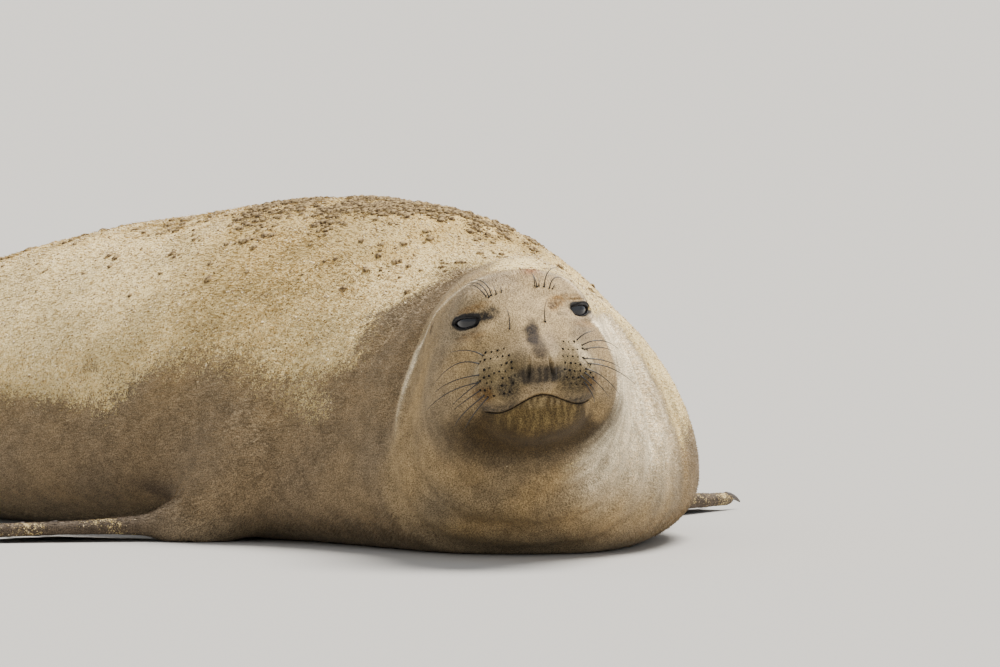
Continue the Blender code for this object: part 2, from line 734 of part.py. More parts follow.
def face_point(across, height, sunk=0.0):
    """Point on the face, or under its surface, found straight from the front."""
    depths = np.linspace(*FACE_DEPTHS)
    line = np.stack([np.full_like(depths, across), depths, np.full_like(depths, height)], axis=1)
    inside = head_form(line @ HEAD_AXES.T + HEAD_ORIGIN) < 0
    depth = depths[np.argmax(inside)]
    return np.array([across, depth - sunk, height])


def face_normal(local):
    """Direction straight out of the face at a point of the head's frame."""
    step = 0.001
    near = np.asarray(local) + np.vstack([np.eye(3), -np.eye(3)]) * step
    value = head_form(near @ HEAD_AXES.T + HEAD_ORIGIN)
    slope = value[:3] - value[3:]
    return slope / np.linalg.norm(slope)


def to_world(local):
    """A point of the head's frame in the model's frame."""
    return HEAD_ORIGIN + HEAD_AXES @ np.asarray(local)


def mouth_height(across):
    """Height of the mouth line: a peak in the middle, a dip on each side, corners turned up."""
    share = min(abs(across) / MOUTH_DIP_AT, 1.0)
    fall = MOUTH_DIP * share * share * (3 - 2 * share)
    past = max(abs(across) - MOUTH_DIP_AT, 0.0) / (MOUTH_CORNER - MOUTH_DIP_AT)
    return MOUTH_MIDDLE - fall + MOUTH_UPTURN * min(past, 1.0) ** 2


def jaw_cutter(grow, cutters):
    """A block under the mouth line, in front of the corners of the mouth."""
    reach = MOUTH_CORNER + JAW_BEYOND + grow
    depth, down = JAW_BLOCK
    outline = [(across, mouth_height(across) + grow) for across in np.linspace(-reach, reach, 31)]
    outline += [(JAW_UNDER + grow, -down), (-JAW_UNDER - grow, -down)]
    bm = bmesh.new()
    back = MOUTH_BACK - grow
    face = bm.faces.new([bm.verts.new(to_world((across, back, height))) for across, height in outline])
    forward = Vector((HEAD_AXES[:, 1] * depth).tolist())
    moved = bmesh.ops.extrude_face_region(bm, geom=[face])["geom"]
    bmesh.ops.translate(bm, verts=[item for item in moved if isinstance(item, bmesh.types.BMVert)],
                        vec=forward)
    bmesh.ops.triangulate(bm, faces=bm.faces[:])
    bmesh.ops.recalc_face_normals(bm, faces=bm.faces[:])
    mesh = bpy.data.meshes.new("jaw_block")
    bm.to_mesh(mesh)
    bm.free()
    return new_object("cutter_jaw", mesh, cutters)


def tube_mesh(points, radii, sides_level=0):
    """A tube through points with a radius at each, as a closed mesh."""
    curve = bpy.data.curves.new("tube", "CURVE")
    curve.dimensions = "3D"
    curve.bevel_depth = 1.0
    curve.bevel_resolution = sides_level
    curve.use_fill_caps = True
    spline = curve.splines.new("POLY")
    spline.points.add(len(points) - 1)
    for knot, point, radius in zip(spline.points, points, radii):
        knot.co = (*[float(value) for value in point], 1.0)
        knot.radius = float(radius)
    holder = bpy.data.objects.new("tube", curve)
    bpy.context.scene.collection.objects.link(holder)
    bpy.context.view_layer.update()
    evaluated = holder.evaluated_get(bpy.context.evaluated_depsgraph_get())
    mesh = bpy.data.meshes.new_from_object(evaluated)
    bpy.data.objects.remove(holder)
    bpy.data.curves.remove(curve)
    bm = bmesh.new()
    bm.from_mesh(mesh)
    bmesh.ops.remove_doubles(bm, verts=bm.verts[:], dist=0.00005)
    bmesh.ops.recalc_face_normals(bm, faces=bm.faces[:])
    bm.to_mesh(mesh)
    bm.free()
    return mesh


def lip_cutter(cutters):
    """A thin tube along the mouth line, which rolls the lips in a little."""
    stops = np.linspace(-MOUTH_CORNER, MOUTH_CORNER, 21)
    points = [to_world(face_point(across, mouth_height(across))) for across in stops]
    fullness = np.sqrt(np.maximum(np.cos(math.pi / 2 * stops / MOUTH_CORNER), 0.0))
    radii = LIP_GROOVE * (LIP_GROOVE_END + (1 - LIP_GROOVE_END) * fullness)
    return new_object("cutter_lips", tube_mesh(points, radii), cutters)


def ball_cutter(name, centre, radii, axes, cutters, segments=18):
    """An ellipsoid cutter in the head's frame, with its own axes as rows."""
    bm = bmesh.new()
    add_ball(bm, to_world(centre), radii, HEAD_AXES @ np.asarray(axes).T, segments)
    bmesh.ops.recalc_face_normals(bm, faces=bm.faces[:])
    mesh = bpy.data.meshes.new(name)
    bm.to_mesh(mesh)
    bm.free()
    return new_object(name, mesh, cutters)


def lid_cutter(centre, side, cutters):
    """An almond-shaped cone out of the middle of an eye, for the opening between its lids."""
    along, above, look = eye_axes(side)
    shares = np.linspace(-1.0, 1.0, 15)
    outline = [(share, LID_ABOVE * (1 - share * share)) for share in shares]
    outline += [(share, LID_BELOW * (share * share - 1)) for share in shares[-2:0:-1]]
    bm = bmesh.new()
    rings = []
    for reach, size in ((0.0, LID_POINT), (2 * EYE_RADIUS, 2 - LID_POINT)):
        rings.append([bm.verts.new(to_world(centre + look * reach
                                            + size * (along * share * LID_OPENING + above * height)))
                      for share, height in outline])
    count = len(outline)
    for index in range(count):
        following = (index + 1) % count
        bm.faces.new((rings[0][index], rings[0][following], rings[1][following], rings[1][index]))
    for ring in rings:
        bm.faces.new(ring)
    bmesh.ops.triangulate(bm, faces=bm.faces[:])
    bmesh.ops.recalc_face_normals(bm, faces=bm.faces[:])
    mesh = bpy.data.meshes.new("lids")
    bm.to_mesh(mesh)
    bm.free()
    return new_object("cutter_lids", mesh, cutters)


def cut_eye(head, word, side, parts, cutters):
    """Cut an eye's socket and the opening between its lids, and make the eyeball."""
    centre = np.array(EYE_PLACE) * (side, 1, 1)
    level = np.eye(3)
    opening = lid_cutter(centre, side, cutters)
    combine(head, opening, "DIFFERENCE")
    socket = ball_cutter("cutter_socket", centre, [EYE_RADIUS + SEAM] * 3, level, cutters)
    combine(head, socket, "DIFFERENCE")
    eye = ball_cutter("eye_" + word, centre, [EYE_RADIUS] * 3, level, parts)
    remove_object(socket)
    remove_object(opening)
    return eye


def cut_nostril(head, side, cutters):
    """Cut one slit of a nostril."""
    centre = np.array(NOSTRIL_PLACE) * (side, 1, 1)
    across = np.array([math.cos(NOSTRIL_SPLAY), 0.0, side * math.sin(NOSTRIL_SPLAY)])
    along = np.array([-side * math.sin(NOSTRIL_SPLAY), 0.0, math.cos(NOSTRIL_SPLAY)])
    axes = (across, (0.0, 1.0, 0.0), along)
    slit = ball_cutter("cutter_nostril", centre, NOSTRIL_RADII, axes, cutters, 9)
    combine(head, slit, "DIFFERENCE")
    remove_object(slit)


def cut_ear(head, side, cutters):
    """Cut the small hole of an ear, which has no flap."""
    centre = np.array(EAR_PLACE) * (side, 1, 1)
    level = np.eye(3)
    hole = ball_cutter("cutter_ear", centre, EAR_RADII, level, cutters, 9)
    combine(head, hole, "DIFFERENCE")
    remove_object(hole)


# Whiskers and claws

def hair(root, start, finish, length, steps=5):
    """Points and radii of a hair that leaves its root one way and ends another way."""
    out = face_normal(root)
    start = out + np.asarray(start) / np.linalg.norm(start)
    start /= np.linalg.norm(start)
    finish = np.asarray(finish) / np.linalg.norm(finish)
    point = np.asarray(root) - out * WHISKER_SUNK
    points = [point, np.asarray(root)]
    radii = [WHISKER_ROOT, WHISKER_ROOT]
    point = points[1]
    for index in range(steps):
        share = index / (steps - 1)
        heading = start * (1 - share) + finish * share
        point = point + heading / np.linalg.norm(heading) * length / steps
        points.append(point)
        radii.append(WHISKER_ROOT + (WHISKER_TIP - WHISKER_ROOT) * (index + 1) / steps)
    return [to_world(place) for place in points], radii


def pad_hairs(side, draw):
    """Hairs of one whisker pad, longest low down at its outer edge."""
    hairs = []
    for row in range(PAD_ROWS):
        for column in range(PAD_HAIRS_WIDE - (row > PAD_ROWS - 3)):
            across = side * (PAD_HAIRS_AT[0] + PAD_HAIR_STEP * column + draw.uniform(-0.001, 0.001))
            root = face_point(across, PAD_HAIRS_AT[1] - PAD_ROW_STEP * row)
            rise = float(np.dot(PAD_HAIR_RISE, (1, row, column)))
            start = (side, 0.10, rise)
            finish = (side * 0.85, PAD_HAIR_BACK, rise - PAD_HAIR_DROOP)
            length = float(np.dot(PAD_HAIR_LENGTH, (1, row, column))) * draw.uniform(0.9, 1.1)
            hairs.append(hair(root, start, finish, length))
    return hairs


def brow_hairs(side, draw):
    """A small fan of hairs above one eye, and the single hair on the nose's side."""
    hairs = []
    for share in np.linspace(0.0, 1.0, BROW_HAIRS):
        root = face_point(side * (BROW_AT[0] + BROW_WIDE * share), BROW_AT[1])
        start = (side * (0.1 + 0.5 * share), 0.1, 0.9)
        finish = (side * (0.3 + 0.9 * share), -0.2, 0.6 - 0.5 * share)
        hairs.append(hair(root, start, finish, BROW_HAIR_LENGTH * draw.uniform(0.8, 1.15), 4))
    root = face_point(side * NOSE_HAIR_AT[0], NOSE_HAIR_AT[1])
    hairs.append(hair(root, (-0.1 * side, 0.0, 0.7), (0.25 * side, 0.1, 1.0), NOSE_HAIR_LENGTH, 4))
    return hairs


def root_all(obj, meshes):
    """Union of a node with the pieces that grow from it."""
    group = bpy.data.collections.new("pieces")
    bpy.context.scene.collection.children.link(group)
    for mesh in meshes:
        new_object("piece", mesh, group)
    combine(obj, group, "UNION", "MANIFOLD")
    for piece in list(group.objects):
        remove_object(piece)
    bpy.data.collections.remove(group)


def claw_meshes(flipper):
    """The five claws of a fore flipper, from the digits' ends and bent down to the floor."""
    meshes = []
    for index in range(len(flipper.angles)):
        base = flipper.digit_tip(index, CLAW_FROM)
        tip = flipper.digit_tip(index)
        heading = (tip - base) / np.linalg.norm(tip - base)
        points = []
        radii = []
        for share in np.linspace(0.0, 1.0, 5):
            place = base + heading * share * CLAW_LENGTH
            place[2] = max(place[2] + CLAW_RISE - CLAW_CURVE * share * share, CLAW_RADII[0])
            points.append(place)
            radii.append(CLAW_RADII[0] + (CLAW_RADII[1] - CLAW_RADII[0]) * share ** 1.5)
        meshes.append(tube_mesh(points, radii, 1))
    return meshes


# Nodes

COAT_TAN = (0.52, 0.40, 0.25)
COAT_FACE = (0.48, 0.38, 0.26)
COAT_DARK = (0.26, 0.19, 0.13)
EYE_BLACK = (0.015, 0.016, 0.020)
FINISHES = {
    "head": (COAT_FACE, 0.75), "lower_jaw": (COAT_DARK, 0.70), "neck": (COAT_TAN, 0.80),
    "chest": (COAT_TAN, 0.85), "belly": (COAT_TAN, 0.85), "hips": (COAT_TAN, 0.85),
    "tail": (COAT_DARK, 0.75), "eye_left": (EYE_BLACK, 0.08), "eye_right": (EYE_BLACK, 0.08),
    "fore_flipper_left": (COAT_DARK, 0.70), "fore_flipper_right": (COAT_DARK, 0.70),
    "hind_flipper_left": (COAT_DARK, 0.70), "hind_flipper_right": (COAT_DARK, 0.70),
}


def finish(obj):
    """Give a node its own plain material and smooth shading."""
    colour, roughness = FINISHES[obj.name]
    material = bpy.data.materials.new(obj.name)
    material.use_nodes = True
    shader = material.node_tree.nodes["Principled BSDF"]
    shader.inputs["Base Color"].default_value = (*colour, 1.0)
    shader.inputs["Roughness"].default_value = roughness
    shader.inputs["Metallic"].default_value = 0.0
    obj.data.materials.clear()
    obj.data.materials.append(material)
    obj.data.shade_smooth()
    obj.data.set_sharp_from_angle(angle=SHARP_ANGLE)


def part_at(obj, distance, name, parts):
    """Part a body across the spine: the new node is what lies towards the nose."""
    normal = spine_direction(distance)
    front = copied(obj, name, parts)
    cut_flat(front, spine_point(distance) - normal * SEAM / 2, normal)
    cut_flat(obj, spine_point(distance) + normal * SEAM / 2, -normal)
    keep_largest(front)
    keep_largest(obj)
    return front


def part_flippers(body, parts, cutters):
    """Take the four flippers off the body."""
    nodes = []
    for name, flipper in FLIPPERS.items():
        axes = np.stack([flipper.along, flipper.across, flipper.normal])
        low, high = FORE_BOX if name.startswith("fore") else HIND_BOX
        high = np.add(high, (flipper.lengths.max(), 0.0, 0.0))
        box = box_cutter(flipper.wrist, axes, low, high, 0.0, cutters)
        node = largest_overlap(body, box, name, parts)
        remove_object(box)
        box = box_cutter(flipper.wrist, axes, low, high, SEAM, cutters)
        combine(body, box, "DIFFERENCE")
        remove_object(box)
        if name.startswith("fore"):
            root_all(node, claw_meshes(flipper))
        nodes.append(node)
    return nodes


def part_jaw(head, parts, cutters):
    """Part the lower jaw from the head along the mouth line."""
    lips = lip_cutter(cutters)
    combine(head, lips, "DIFFERENCE")
    remove_object(lips)
    block = jaw_cutter(0.0, cutters)
    jaw = largest_overlap(head, block, "lower_jaw", parts)
    remove_object(block)
    block = jaw_cutter(SEAM, cutters)
    combine(head, block, "DIFFERENCE")
    remove_object(block)
    return jaw


def centre_nodes(nodes):
    """Move all nodes so that the origin is under the middle of the whole animal."""
    points = np.vstack([read_points(node.data) for node in nodes])
    middle = (points.min(axis=0) + points.max(axis=0)) / 2
    shift = Matrix.Translation((-middle[0], -middle[1], -points[:, 2].min()))
    for node in nodes:
        node.data.transform(shift)


def clear_scene():
    """Remove whatever the file holds."""
    for obj in list(bpy.data.objects):
        bpy.data.objects.remove(obj)


def build():
    """Model the whole animal, part it into its nodes and finish them."""
    clear_scene()
    parts = bpy.data.collections.new(PART)
    cutters = bpy.data.collections.new("cutters")
    for collection in (parts, cutters):
        bpy.context.scene.collection.children.link(collection)
    skin = new_object("hips", rough_body(), parts)
    for rounds in (3, 2):
        grid_and_settle(skin, rounds)
    thin_out(skin)
    cut_flat(skin, (0.0, 0.0, 0.0), (0.0, 0.0, -1.0))
    nodes = part_flippers(skin, parts, cutters)
    head = part_at(skin, NECK_CUT, "head", parts)
    nodes.append(part_at(skin, CHEST_CUT, "neck", parts))
    nodes.append(part_at(skin, BELLY_CUT, "chest", parts))
    nodes.append(part_at(skin, HIPS_CUT, "belly", parts))
    hips = part_at(skin, TAIL_CUT, "loin", parts)
    skin.name = "tail"
    hips.name = "hips"
    nodes += [skin, hips, head, part_jaw(head, parts, cutters)]
    draw = np.random.default_rng(7)
    hairs = []
    for word, side in (("left", 1), ("right", -1)):
        nodes.append(cut_eye(head, word, side, parts, cutters))
        cut_nostril(head, side, cutters)
        cut_ear(head, side, cutters)
        hairs += pad_hairs(side, draw) + brow_hairs(side, draw)
    root_all(head, [tube_mesh(points, radii) for points, radii in hairs])
    centre_nodes(nodes)
    for node in nodes:
        finish(node)


build()
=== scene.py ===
"""Looks of the life-size elephant seal cow, lying on her belly with the head raised and turned.

Metres, +Z up. The trunk runs along +Y, the head is at the -Y end and her left side is +X.
"""

import sys
import logging
import math
from dataclasses import dataclass, field
from enum import Enum
from typing import Sequence

import bmesh
import bpy
import numpy as np
from mathutils import Matrix, Vector


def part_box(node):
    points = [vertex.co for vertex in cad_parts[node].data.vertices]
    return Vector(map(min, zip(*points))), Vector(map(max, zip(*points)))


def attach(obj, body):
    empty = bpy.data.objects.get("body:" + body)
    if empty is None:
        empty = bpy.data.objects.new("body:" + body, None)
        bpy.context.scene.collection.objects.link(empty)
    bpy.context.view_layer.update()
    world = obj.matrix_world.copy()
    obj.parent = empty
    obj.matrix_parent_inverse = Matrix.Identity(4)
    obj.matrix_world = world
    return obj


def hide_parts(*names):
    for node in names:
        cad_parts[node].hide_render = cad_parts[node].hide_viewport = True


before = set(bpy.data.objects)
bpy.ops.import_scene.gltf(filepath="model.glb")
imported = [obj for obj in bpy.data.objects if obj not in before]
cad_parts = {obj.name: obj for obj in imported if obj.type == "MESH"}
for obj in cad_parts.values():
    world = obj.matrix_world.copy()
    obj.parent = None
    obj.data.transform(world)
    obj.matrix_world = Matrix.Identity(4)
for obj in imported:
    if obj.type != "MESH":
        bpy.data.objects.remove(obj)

LOG = logging.getLogger("seal")
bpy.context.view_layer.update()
BODY = "root"
FLESH_NODES = ("head", "lower_jaw", "neck", "chest", "belly", "hips", "tail", "fore_flipper_left",
               "fore_flipper_right", "hind_flipper_left", "hind_flipper_right")
BAKE_MAP = "OFBake"
Array = np.ndarray


class Side(Enum):
    """One side of the animal, with the sign of its sideways direction."""

    LEFT = 1
    RIGHT = -1

    @property
    def word(self) -> str:
        """The side's name as the nodes have it."""
        return self.name.lower()


# Forms, each a distance that is negative inside

def smooth_union(first: Array, second: Array, blend: float) -> Array:
    """Union of two forms with a soft fillet."""
    share = np.clip(blend - np.abs(first - second), 0.0, None) / blend
    return np.minimum(first, second) - share * share * blend / 4


def smooth_overlap(first: Array, second: Array, blend: float) -> Array:
    """Overlap of two forms with a soft edge."""
    return -smooth_union(-first, -second, blend)


def ellipsoid_form(points: Array, centre: Sequence[float], radii: Sequence[float]) -> Array:
    """Distance to an ellipsoid."""
    size = np.asarray(radii)
    scaled = (points - np.asarray(centre)) / size
    near = np.linalg.norm(scaled, axis=1)
    slope = np.linalg.norm(scaled / size, axis=1)
    return near * (near - 1) / np.maximum(slope, 1e-9)


def limb_form(points: Array, start: Sequence[float], end: Sequence[float], radii: Sequence[float]) -> Array:
    """Distance to a round limb that tapers from one point to another."""
    origin = np.asarray(start)
    axis = np.asarray(end) - origin
    share = np.clip(((points - origin) @ axis) / (axis @ axis), 0.0, 1.0)
    reach = np.linalg.norm(points - origin - share[:, None] * axis, axis=1)
    return reach - (radii[0] + (radii[1] - radii[0]) * share)


def ramp(value: Array, low: float, high: float) -> Array:
    """Smooth rise from 0 at one value to 1 at another."""
    share = np.clip((value - low) / (high - low), 0.0, 1.0)
    return share * share * (3 - 2 * share)


def ridge(value: Array, half: float) -> Array:
    """A soft ridge of height 1 where the value is 0."""
    return np.exp(-((value / half) ** 2))


def unit(vector: Sequence[float]) -> Array:
    """The vector at length 1."""
    return np.asarray(vector) / np.linalg.norm(vector)


@dataclass
class Ripples:
    """Smooth irregular waves in space, between -1 and 1."""

    length: float
    seed: int
    waves: int = 9

    def at(self, points: Array) -> Array:
        """Height of the waves at each point.

        Args:
            points: places in metres, one row each.

        Returns:
            One value for each point.
        """
        draw = np.random.default_rng(self.seed)
        total = np.zeros(len(points))
        for _ in range(self.waves):
            heading = unit(draw.normal(size=3))
            turns = 2 * math.pi / (self.length * draw.uniform(0.6, 1.6))
            total += np.sin(points @ heading * turns + draw.uniform(0, 2 * math.pi))
        return total / math.sqrt(self.waves * 2)


@dataclass
class Spine:
    """The middle line of the body on the floor, which turns to the seal's right at the neck."""

    turn: float = math.radians(45.5)
    turn_from: float = 0.195
    turn_to: float = 1.190
    step: float = 0.01
    end: float = 3.2

    def __post_init__(self) -> None:
        """Work out the line's points and directions once."""
        self.along = np.arange(0.0, self.end + self.step, self.step)
        angle = self.heading(self.along)
        self.tailward = np.stack([np.sin(angle), np.cos(angle)], axis=1)
        steps = (self.tailward[1:] + self.tailward[:-1]) * self.step / 2
        place = np.vstack([[0.0, 0.0], np.cumsum(steps, axis=0)])
        straight = np.array([np.interp(self.turn_to, self.along, place[:, k]) for k in range(2)])
        self.places = place - straight
        self.bend = np.gradient(angle, self.step)

    def heading(self, distance: Array) -> Array:
        """Angle between the tailward direction and +Y."""
        share = np.clip((self.turn_to - distance) / (self.turn_to - self.turn_from), 0.0, 1.0)
        return self.turn * share * share * (3 - 2 * share)

    def direction(self, distance: float) -> Array:
        """Level tailward direction at a distance from the nose."""
        angle = self.heading(distance)
        return np.array([math.sin(angle), math.cos(angle), 0.0])

    def point(self, distance: float, side: float = 0.0, height: float = 0.0) -> Array:
        """Point at a distance from the nose, off to the seal's left and above the floor."""
        tail = self.direction(distance)
        place = [np.interp(distance, self.along, self.places[:, k]) for k in range(2)]
        return np.array([place[0] + side * tail[1], place[1] - side * tail[0], height])

    def offset(self, flat: Array, distance: Array) -> tuple[Array, Array, Array]:
        """Offset from the line at a distance, the tailward direction and the offset's left part."""
        place = np.stack([np.interp(distance, self.along, self.places[:, k]) for k in range(2)], axis=1)
        tail = np.stack([np.interp(distance, self.along, self.tailward[:, k]) for k in range(2)], axis=1)
        gap = flat - place
        return gap, tail, gap[:, 0] * tail[:, 1] - gap[:, 1] * tail[:, 0]

    def locate(self, points: Array) -> tuple[Array, Array]:
        """Distance from the nose along the line, and offset to the seal's left, of each point."""
        flat = points[:, :2]
        coarse = self.places[::10]
        gaps = ((flat[:, None, :] - coarse[None, :, :]) ** 2).sum(axis=2)
        distance = self.along[::10][np.argmin(gaps, axis=1)]
        for _ in range(4):
            gap, tail, side = self.offset(flat, distance)
            bend = np.interp(distance, self.along, self.bend)
            distance = distance + (gap * tail).sum(axis=1) / np.maximum(1 - bend * side, 0.3)
        return distance, self.offset(flat, distance)[2]


@dataclass
class Trunk:
    """Neck and trunk, with sections that follow a few stations along the spine."""

    spine: Spine
    # Distance from the nose, half width, top, height of the widest place, underside
    stations: tuple[tuple[float, ...], ...] = (
        (0.15, 0.090, 0.385, 0.250, 0.130),
        (0.24, 0.150, 0.415, 0.165, 0.040),
        (0.32, 0.192, 0.425, 0.115, -0.010),
        (0.45, 0.250, 0.426, 0.100, -0.025),
        (0.62, 0.330, 0.418, 0.100, -0.030),
        (0.80, 0.380, 0.493, 0.120, -0.035),
        (1.00, 0.410, 0.510, 0.135, -0.035),
        (1.25, 0.422, 0.485, 0.142, -0.035),
        (1.50, 0.412, 0.458, 0.140, -0.035),
        (1.75, 0.378, 0.405, 0.135, -0.030),
        (2.00, 0.325, 0.345, 0.127, -0.025),
        (2.20, 0.250, 0.285, 0.117, -0.020),
        (2.40, 0.165, 0.215, 0.102, 0.000),
        (2.52, 0.115, 0.165, 0.095, 0.020),
        (2.60, 0.060, 0.120, 0.085, 0.045),
    )
    softness: float = 0.16
    # Distance from the nose, half length and depth of each fold; a depth below 0 is a ridge
    folds: tuple[tuple[float, ...], ...] = (
        (0.307, 0.016, -0.005), (0.347, 0.020, 0.015), (0.470, 0.026, 0.006), (0.660, 0.035, 0.007))
    throat_rolls: tuple[tuple[float, ...], ...] = (
        (0.215, 0.012, 0.007), (0.262, 0.014, 0.009), (0.320, 0.018, 0.008))
    fold_lean: float = 0.12
    folds_down_to: tuple[float, float] = (0.10, 0.23)
    start: float = 0.17
    finish: float = 2.58
    end_blend: float = 0.06
    back_power: float = 1.76
    flank_power: float = 2.4

    def __post_init__(self) -> None:
        """Soften the stations into smooth curves."""
        table = np.array(self.stations)
        half = int(self.softness / self.spine.step / 2)
        weights = np.hanning(2 * half + 3)[1:-1]
        weights /= weights.sum()
        self.curves = []
        for column in range(1, table.shape[1]):
            line = np.interp(self.spine.along, table[:, 0], table[:, column])
            self.curves.append(np.convolve(np.pad(line, half, mode="edge"), weights, mode="valid"))

    def section(self, distance: Array) -> tuple[Array, ...]:
        """Half width, top, height of the widest place and underside at a distance."""
        return tuple(np.interp(distance, self.spine.along, curve) for curve in self.curves)

    def form(self, points: Array) -> Array:
        """Distance to the neck and trunk."""
        distance, side = self.spine.locate(points)
        width, top, middle, under = self.section(distance)
        rise = points[:, 2] - middle
        tall = np.where(rise > 0, top - middle, middle - under)
        power = np.where(rise > 0, self.back_power, self.flank_power)
        ratio = (np.abs(side / width) ** power + np.abs(rise / tall) ** power) ** (1 / power)
        wall = np.hypot(side, rise) * (1 - 1 / np.maximum(ratio, 0.05))
        high = ramp(points[:, 2], *self.folds_down_to)
        for folds, share in ((self.folds, high), (self.throat_rolls, 1 - high)):
            for place, half, depth in folds:
                wall = wall + share * depth * ridge(distance - place - self.fold_lean * rise, half)
        ends = np.maximum(self.start - distance, distance - self.finish)
        return smooth_overlap(wall, ends, self.end_blend)


@dataclass
class Eye:
    """Sizes of an eye and its lids in the head's frame."""

    radius: float = 0.0290
    place: tuple[float, float, float] = (0.0650, -0.0115, -0.0015)
    outward: float = math.radians(44)
    upward: float = math.radians(5)
    lid: float = 0.0035
    lid_blend: float = 0.007
    opening: float = 0.0340
    above: float = 0.0058
    below: float = 0.0100
    slant: float = math.radians(-6)
    reach: float = 0.047
    orbit_out: float = 0.0465
    orbit_radii: tuple[float, float, float] = (0.0340, 0.0230, 0.0160)
    orbit_blend: float = 0.012

    def axes(self, side: int) -> Array:
        """Rows: along the lids to one corner, across them, and out of the eye."""
        level = math.cos(self.upward)
        look = np.array([side * math.sin(self.outward) * level, math.cos(self.outward) * level,
                         math.sin(self.upward)])
        flat = -unit(np.cross((0.0, 0.0, 1.0), look) * side)
        above = np.cross(look, flat) * -side
        along = math.cos(self.slant) * flat + math.sin(self.slant) * above
        return np.stack([along, np.cross(look, along) * -side, look])

    def centre(self, side: int) -> Array:
        """The eye's middle."""
        return np.array(self.place) * (side, 1, 1)

    def lid_gap(self, about: Array) -> Array:
        """Distance outside the opening between the lids, below 0 in it.

        Args:
            about: points about the eye's middle, in the eye's own axes.

        Returns:
            Rough distance along the eye's surface, in metres.
        """
        depth = np.maximum(about[:, 2], 0.2 * self.radius)
        across, rise = about[:, 0] / depth * self.radius, about[:, 1] / depth * self.radius
        share = 1 - (across / self.opening) ** 2
        gap = np.maximum(rise - self.above * share, -rise - self.below * share)
        turned = self.radius / np.sqrt(self.radius ** 2 + across ** 2 + rise ** 2)
        beyond = np.maximum(np.linalg.norm(about, axis=1) - self.reach, 0.0)
        return np.where(about[:, 2] > 0, gap * turned + beyond, 1.0)

    def rim(self, side: int, out: float, stops: int = 24) -> Array:
        """Closed loop of points along the lids' edge, in the head's frame."""
        shares = np.cos(np.linspace(0.0, math.pi, stops))
        upper = [(share, self.above * (1 - share * share)) for share in shares]
        lower = [(share, self.below * (share * share - 1)) for share in shares[-2:0:-1]]
        along, above, look = self.axes(side)
        points = []
        for share, height in upper + lower:
            ray = unit(look * self.radius + along * share * self.opening + above * height)
            points.append(self.centre(side) + ray * (self.radius + out))
        return np.array(points)


